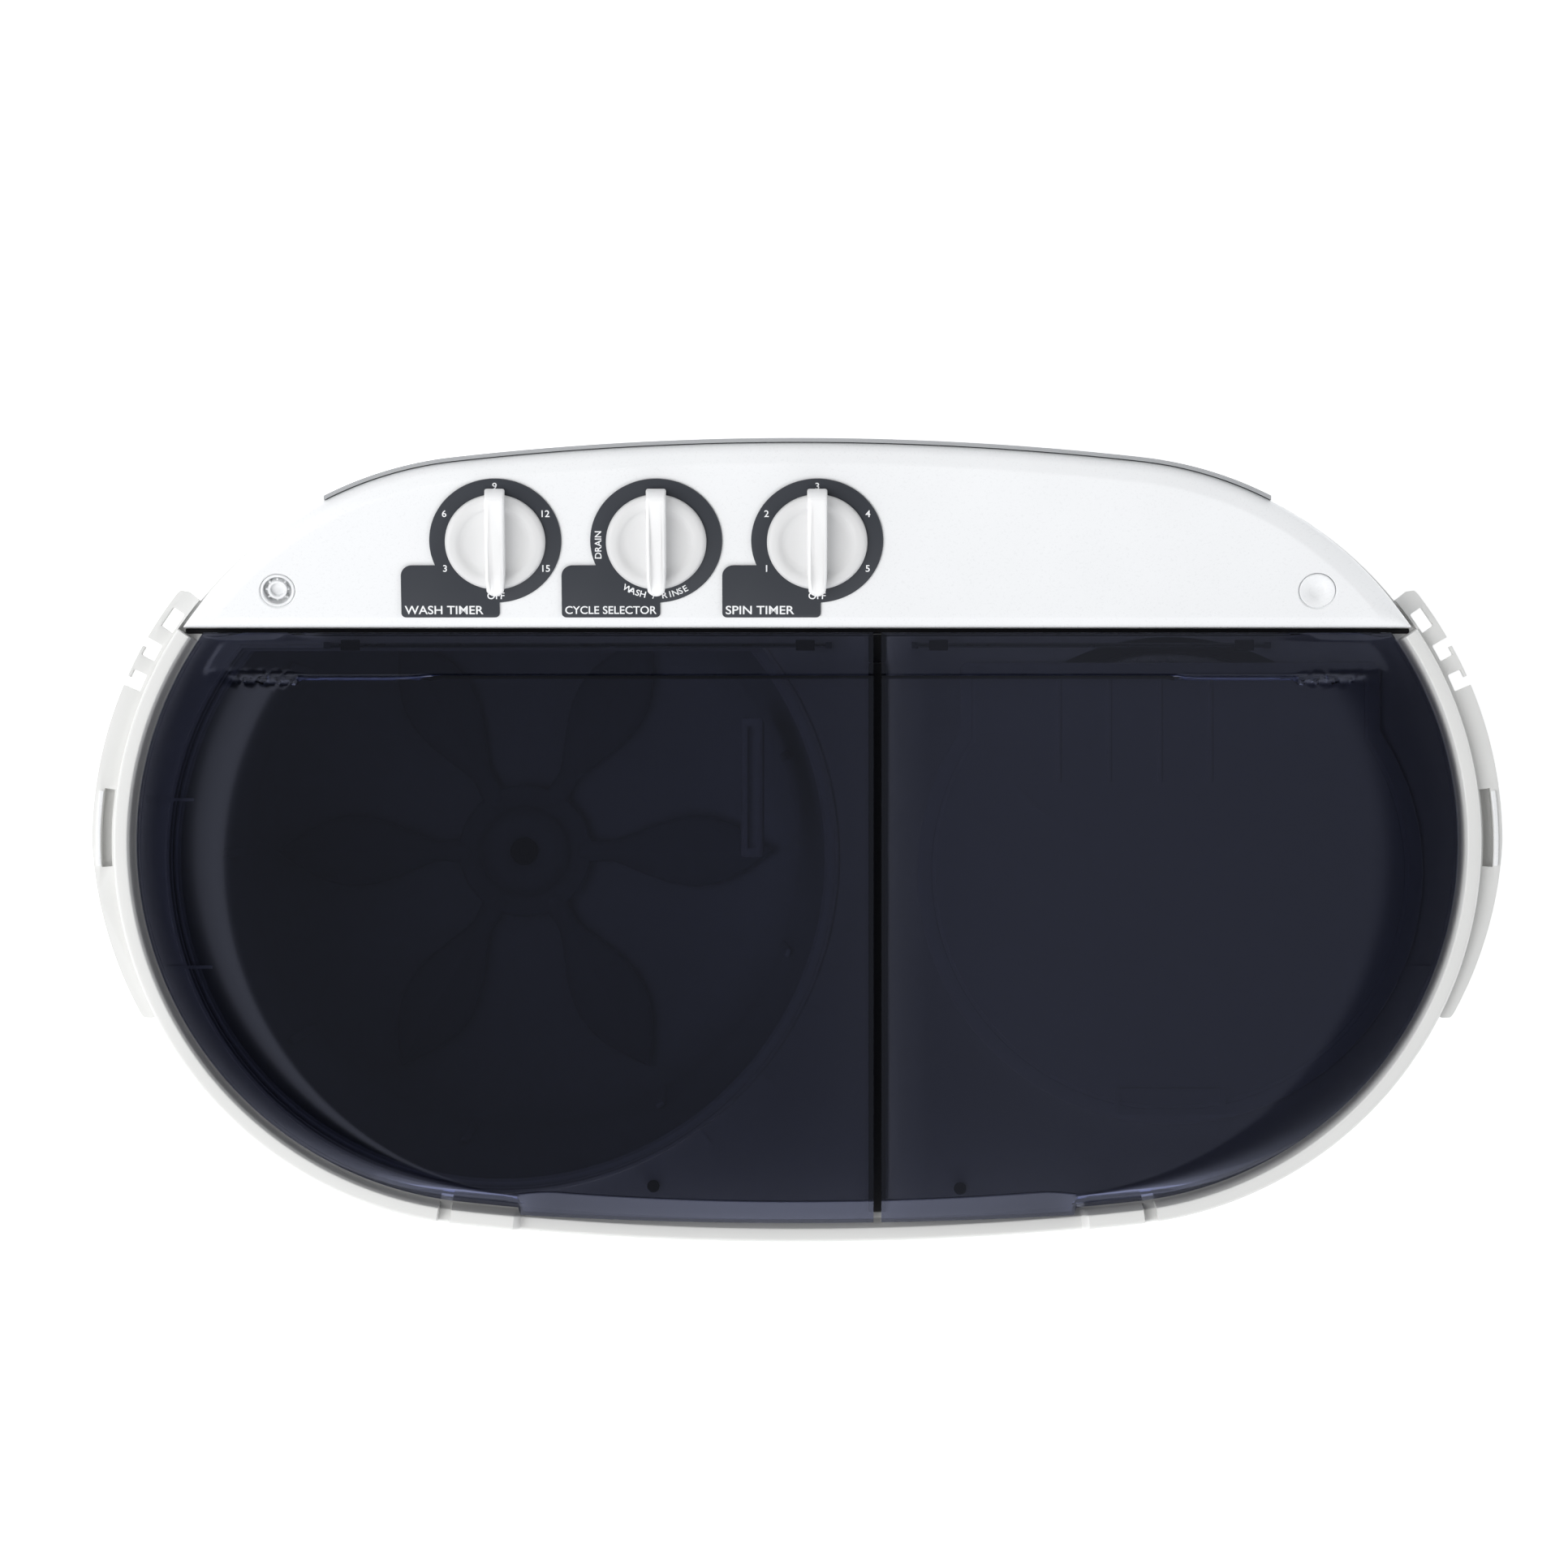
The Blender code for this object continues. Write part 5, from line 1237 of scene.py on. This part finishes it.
def make_inner_lid():
    """The safety lid of the spin basket: a disc with a seam, four ribs and a finger tab."""
    low, high, centre = INNER_LOW.z, INNER_HIGH.z - 1.5 * MM, SPIN_CENTRE
    radius, half = SPIN_CENTRE.x - INNER_LOW.x, 134 * MM
    rear = 114.5 * MM - centre.y
    turn = math.degrees(math.acos(half / radius))
    path = arc(radius, 180 - turn, 360 + turn, 160)
    path += [(half, rear - 3 * MM), (half - 3 * MM, rear), (3 * MM - half, rear), (-half, rear - 3 * MM)]
    rings = []
    for inset, z in ((0.8, low), (0, low + 0.8 * MM), (0, high - 1.0 * MM), (0.3, high - 0.3 * MM),
                     (1.0, high), (9.0, high), (9.4, high - 0.9 * MM), (11.6, high - 0.9 * MM), (12.0, high)):
        scale = 1 - inset * MM / radius
        rings.append([(centre.x + x * scale, centre.y + y * scale, z) for x, y in path])
    parts = [skin(rings, cap_first=True, cap_last=True)]
    rib_top = INNER_HIGH.z
    for i in range(4):
        x = centre.x - 71 * MM + 32.3 * MM * i
        rib = block(x - 1.3 * MM, x + 1.3 * MM, 38 * MM, 104 * MM, high - 0.5 * MM, rib_top)
        parts.append(soften(rib, 0.5 * MM, 2))
    tab = [(-35.5, -174), (35.5, -174), (35.5, -157), (-35.5, -157)]
    inner = [(-32, -170.5), (32, -170.5), (32, -157), (-32, -157)]
    frame = skin([[(centre.x + x * MM, y * MM, z) for x, y in ring]
                  for ring, z in ((tab, high - 0.5 * MM), (tab, rib_top), (inner, rib_top),
                                  (inner, high - 0.5 * MM))], loop=True)
    parts.append(frame)
    crease = arc(132 * MM, 218, 322, 60, (centre.x, 122 * MM))
    crease += arc(130 * MM, 322, 218, 60, (centre.x, 122 * MM))
    parts.append(prism(crease, high - 0.5 * MM, high + 0.9 * MM))
    add_piece("safety_lid", joined(*parts), "inner_lid", body="inner_lid_body", replaces=["inner_lid"])


def finish_kept_nodes():
    """Gives every CAD node that still shows the finish its piece has on a real machine."""
    finishes = {
        "zinc": ("motor_bracket", "brake_bracket", "spin_motor_plate", "spring_", "brake_lever"),
        "steel": ("pulsator_shaft", "spin_shaft", "drive_pulley", "motor_pulley", "_hinge_rod"),
        "cast": ("gear_case", "brake_drum"),
        "rubber": ("drive_belt", "_seal", "bumper_", "drain_valve_plug", "cord_gland"),
        "motor": ("wash_motor", "spin_motor"),
        "housing": ("_timer", "selector_base"),
        "rear": ("water_channel", "drain_valve_body", "overflow_pipe"),
        "stand": ("drain_outlet",),
    }
    for name, node in frame["nodes"].items():
        if node.hide_render:
            continue
        key = next(key for key, words in finishes.items() if any(word in name for word in words))
        for slot in node.material_slots:
            slot.material = finish_of(key)


# ---------------------------------------------------------------- stage

LIGHT_AIM = Vector((0, 0, 0.9))


def soft_light(name, place, size, power):
    """A soft rectangular light, turned towards the top of the machine."""
    lamp = bpy.data.lights.new(name, "AREA")
    lamp.shape = "RECTANGLE"
    lamp.size, lamp.size_y = size
    lamp.energy = power
    holder = bpy.data.objects.new(name, lamp)
    bpy.context.scene.collection.objects.link(holder)
    holder.location = place
    holder.rotation_euler = (LIGHT_AIM - Vector(place)).to_track_quat("-Z", "Y").to_euler()
    return holder


def combine(tree, operation, one, other):
    """The sum or the product of two outputs."""
    return add_node(tree, "ShaderNodeMath", operation=operation, links={0: one, 1: other}).outputs[0]


def by_height(tree, axes, values):
    """Brightness by the height of a direction; the first two values stand at its ends."""
    ramp = add_node(tree, "ShaderNodeFloatCurve", links={"Value": axes["Z"]})
    curve = ramp.mapping.curves[0]
    for point, value in zip(curve.points, values[:2]):
        point.location = value
    for height, value in values[2:]:
        curve.points.new(height, value)
    ramp.mapping.update()
    return ramp


def make_world(level, zenith, streak):
    """A plain white surround, dim overhead, with a soft bright band high on the left.

    The band is what the left lid's curved end mirrors; the dim part keeps flat lids dark, and
    a faint sheen just right of the top lifts the right lid.
    """
    world = bpy.data.worlds.new("studio")
    world.use_nodes = True
    tree = world.node_tree
    tree.nodes.clear()
    output = add_node(tree, "ShaderNodeOutputWorld")
    place = add_node(tree, "ShaderNodeTexCoord").outputs["Generated"]
    axes = add_node(tree, "ShaderNodeSeparateXYZ", links={"Vector": place}).outputs
    ramp = by_height(tree, axes, [(0.0, level * 1.6), (1.0, zenith), (0.30, level * 1.45), (0.52, level),
                                  (0.80, 0.10), (0.95, 0.10), (0.99, zenith)])
    band = by_height(tree, axes, [(0.0, 0.0), (1.0, 0.0), (0.90, 0.0), (0.95, streak * 0.8),
                                  (0.978, streak), (0.991, streak * 0.6), (0.9965, 0.0)])
    left = add_node(tree, "ShaderNodeMapRange", interpolation_type="SMOOTHSTEP",
                    links={"Value": axes["X"]},
                    values={"From Min": -0.04, "From Max": -0.16, "To Min": 0.0, "To Max": 1.0})
    glow = combine(tree, "MULTIPLY", band.outputs[0], left.outputs["Result"])
    right = add_node(tree, "ShaderNodeMapRange", interpolation_type="SMOOTHSTEP",
                     links={"Value": axes["X"]},
                     values={"From Min": -0.005, "From Max": 0.03, "To Min": 0.0, "To Max": 0.17})
    top = add_node(tree, "ShaderNodeMapRange", links={"Value": axes["Z"]},
                   values={"From Min": 0.95, "From Max": 0.985, "To Min": 0.0, "To Max": 1.0})
    sheen = combine(tree, "MULTIPLY", right.outputs["Result"], top.outputs["Result"])
    total = combine(tree, "ADD", ramp.outputs[0], combine(tree, "ADD", sheen, glow))
    background = add_node(tree, "ShaderNodeBackground", links={"Strength": total},
                          values={"Color": (0.97, 0.98, 1.0, 1.0)})
    tree.links.new(background.outputs[0], output.inputs["Surface"])
    bpy.context.scene.world = world


def backdrop_white():
    """Matt white paper, lit a little from behind so that it stays even round the machine."""
    material, tree, output, place = blank_material("white_paper_floor")
    fibres = noise(tree, place, 6 * MM, 3.0)
    bump = add_node(tree, "ShaderNodeBump", links={"Height": fibres.outputs["Fac"]},
                    values={"Strength": 0.1, "Distance": 0.1 * MM})
    shader = add_node(tree, "ShaderNodeBsdfPrincipled", links={"Normal": bump.outputs["Normal"]},
                      values={"Base Color": (*linear("F8F8F8"), 1.0), "Roughness": 0.85,
                              "Emission Color": (1.0, 1.0, 1.0, 1.0), "Emission Strength": 0.55})
    tree.links.new(shader.outputs[0], output.inputs["Surface"])
    return material


# The middle and the width of the camera's square view, at the height of the rim.
VIEW_CENTRE = (-8.5 * MM, 37 * MM)
VIEW_WIDTH = 998.8 * MM


def make_stage(settings):
    """The pale floor, the soft lights and the camera that looks straight down."""
    bm = bmesh.new()
    bmesh.ops.create_grid(bm, x_segments=4, y_segments=4, size=6.0)
    mesh = bpy.data.meshes.new("floor")
    bm.to_mesh(mesh)
    bm.free()
    floor = bpy.data.objects.new("floor", mesh)
    bpy.context.scene.collection.objects.link(floor)
    mesh.materials.append(backdrop_white())
    make_world(settings.surround, settings.zenith, settings.streak)
    key = soft_light("key", (-2.0, -0.5, 4.6), (3.0, 3.0), settings.key_light)
    key.visible_glossy = False  # the lids would mirror it as a bright patch
    soft_light("front", (0.4, -4.2, 2.3), (5.0, 1.6), settings.front_light)

    camera = bpy.data.cameras.new("camera")
    camera.type = "PERSP"
    camera.lens = 200
    camera.sensor_width = 36
    camera.clip_end = 50
    distance = VIEW_WIDTH * camera.lens / camera.sensor_width
    holder = bpy.data.objects.new("camera", camera)
    bpy.context.scene.collection.objects.link(holder)
    holder.location = (*VIEW_CENTRE, RIM_TOP + distance)
    scene = bpy.context.scene
    scene.camera = holder
    scene.view_settings.view_transform = "Standard"


# ---------------------------------------------------------------- add-on

class WasherSettings(bpy.types.PropertyGroup):
    """Sizes and light levels that a user may change."""
    facet: FloatProperty(name="Facet", description="Spacing of the outline's points",
                         default=3.5 * MM, unit="LENGTH")
    rim_width: FloatProperty(name="Rim width", description="Width of the deck's raised rim at its top",
                             default=9 * MM, unit="LENGTH")
    wash_opening: FloatProperty(name="Wash opening", description="Radius of the wash tub's opening",
                                default=211 * MM, unit="LENGTH")
    panel_round: FloatProperty(name="Panel rounding", description="Width of the band at its back and ends",
                               default=13 * MM, unit="LENGTH")
    dial_radius: FloatProperty(name="Dial radius", description="Radius of a printed dial",
                               default=41.8 * MM, unit="LENGTH")
    knob_radius: FloatProperty(name="Knob radius", description="Radius of a knob's skirt",
                               default=31.8 * MM, unit="LENGTH")
    tub_radius: FloatProperty(name="Tub radius", description="Inner radius of the wash tub at its mouth",
                              default=206 * MM, unit="LENGTH")
    surround: FloatProperty(name="Surround", description="Brightness of the white surround", default=0.92)
    zenith: FloatProperty(name="Overhead", description="Brightness of the surround overhead", default=0.26)
    key_light: FloatProperty(name="Key light", description="Power of the soft key light",
                             default=122.0, unit="POWER")
    front_light: FloatProperty(name="Front light", description="Power of the low front light",
                               default=11.0, unit="POWER")
    streak: FloatProperty(name="Streak", description="Brightness of the band high on the left",
                          default=0.75)


class WASHER_OT_deck(bpy.types.Operator):
    """Builds the deck with its rim and the bead round the wash opening"""
    bl_idname = "washer.deck"
    bl_label = "Build Deck"

    def execute(self, context):
        make_deck(context.scene.washer)
        make_collars(context.scene.washer)
        make_gap_shade_strips()
        return {"FINISHED"}


class WASHER_OT_cabinet(bpy.types.Operator):
    """Builds the cabinet shell and its rear cover"""
    bl_idname = "washer.cabinet"
    bl_label = "Build Cabinet"

    def execute(self, context):
        make_cabinet(context.scene.washer)
        return {"FINISHED"}


class WASHER_OT_stand(bpy.types.Operator):
    """Builds the stand and its four feet"""
    bl_idname = "washer.stand"
    bl_label = "Build Stand"

    def execute(self, context):
        make_stand(context.scene.washer)
        make_feet()
        return {"FINISHED"}


class WASHER_OT_grips(bpy.types.Operator):
    """Builds the two side grips"""
    bl_idname = "washer.grips"
    bl_label = "Build Side Grips"

    def execute(self, context):
        make_grips()
        return {"FINISHED"}


class WASHER_OT_panel(bpy.types.Operator):
    """Builds the control panel, the band behind it and its two inlets"""
    bl_idname = "washer.panel"
    bl_label = "Build Panel"

    def execute(self, context):
        make_panel(context.scene.washer)
        make_inlets()
        return {"FINISHED"}


class WASHER_OT_controls(bpy.types.Operator):
    """Builds the three dials and their knobs"""
    bl_idname = "washer.controls"
    bl_label = "Build Dials and Knobs"

    def execute(self, context):
        for name in DIALS:
            make_dial(name, context.scene.washer)
            make_knob(name, context.scene.washer)
        return {"FINISHED"}


class WASHER_OT_lids(bpy.types.Operator):
    """Builds the two smoked lids"""
    bl_idname = "washer.lids"
    bl_label = "Build Lids"

    def execute(self, context):
        make_lid("wash_lid", -1, -LID_HIGH.x)
        make_lid("spin_lid", 1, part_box("spin_lid")[0][0])
        return {"FINISHED"}


class WASHER_OT_wash_side(bpy.types.Operator):
    """Builds the wash tub, its lint filter and the pulsator"""
    bl_idname = "washer.wash_side"
    bl_label = "Build Wash Side"

    def execute(self, context):
        make_wash_tub(context.scene.washer)
        make_filter()
        make_pulsator()
        return {"FINISHED"}


class WASHER_OT_spin_side(bpy.types.Operator):
    """Builds the spin tub, its basket and the safety lid"""
    bl_idname = "washer.spin_side"
    bl_label = "Build Spin Side"

    def execute(self, context):
        make_spin_tub()
        make_basket()
        make_inner_lid()
        return {"FINISHED"}


class WASHER_OT_finishes(bpy.types.Operator):
    """Gives the parts inside the cabinet their real finishes"""
    bl_idname = "washer.finishes"
    bl_label = "Finish Inner Parts"

    def execute(self, context):
        finish_kept_nodes()
        return {"FINISHED"}


class WASHER_OT_stage(bpy.types.Operator):
    """Sets the floor, the lights and the camera"""
    bl_idname = "washer.stage"
    bl_label = "Set Stage"

    def execute(self, context):
        make_stage(context.scene.washer)
        return {"FINISHED"}


STEPS = (WASHER_OT_deck, WASHER_OT_cabinet, WASHER_OT_stand, WASHER_OT_grips, WASHER_OT_panel,
         WASHER_OT_controls, WASHER_OT_lids, WASHER_OT_wash_side, WASHER_OT_spin_side,
         WASHER_OT_finishes, WASHER_OT_stage)


class WASHER_PT_panel(bpy.types.Panel):
    """Lists the washer's settings and building steps"""
    bl_label = "Twin Tub Washer"
    bl_idname = "WASHER_PT_panel"
    bl_space_type = "VIEW_3D"
    bl_region_type = "UI"
    bl_category = "Washer"

    def draw(self, context):
        for name in WasherSettings.__annotations__:
            self.layout.prop(context.scene.washer, name)
        for step in STEPS:
            self.layout.operator(step.bl_idname)


CLASSES = (WasherSettings, *STEPS, WASHER_PT_panel)


def register():
    """Registers the add-on's classes and its settings."""
    for cls in CLASSES:
        bpy.utils.register_class(cls)
    bpy.types.Scene.washer = PointerProperty(type=WasherSettings)


def unregister():
    """Removes the add-on's settings and classes."""
    del bpy.types.Scene.washer
    for cls in reversed(CLASSES):
        bpy.utils.unregister_class(cls)


def main():
    """Builds every step in order."""
    register()
    bpy.ops.washer.deck()
    bpy.ops.washer.cabinet()
    bpy.ops.washer.stand()
    bpy.ops.washer.grips()
    bpy.ops.washer.panel()
    bpy.ops.washer.controls()
    bpy.ops.washer.lids()
    bpy.ops.washer.wash_side()
    bpy.ops.washer.spin_side()
    bpy.ops.washer.finishes()
    bpy.ops.washer.stage()


if __name__ == "__main__":
    main()
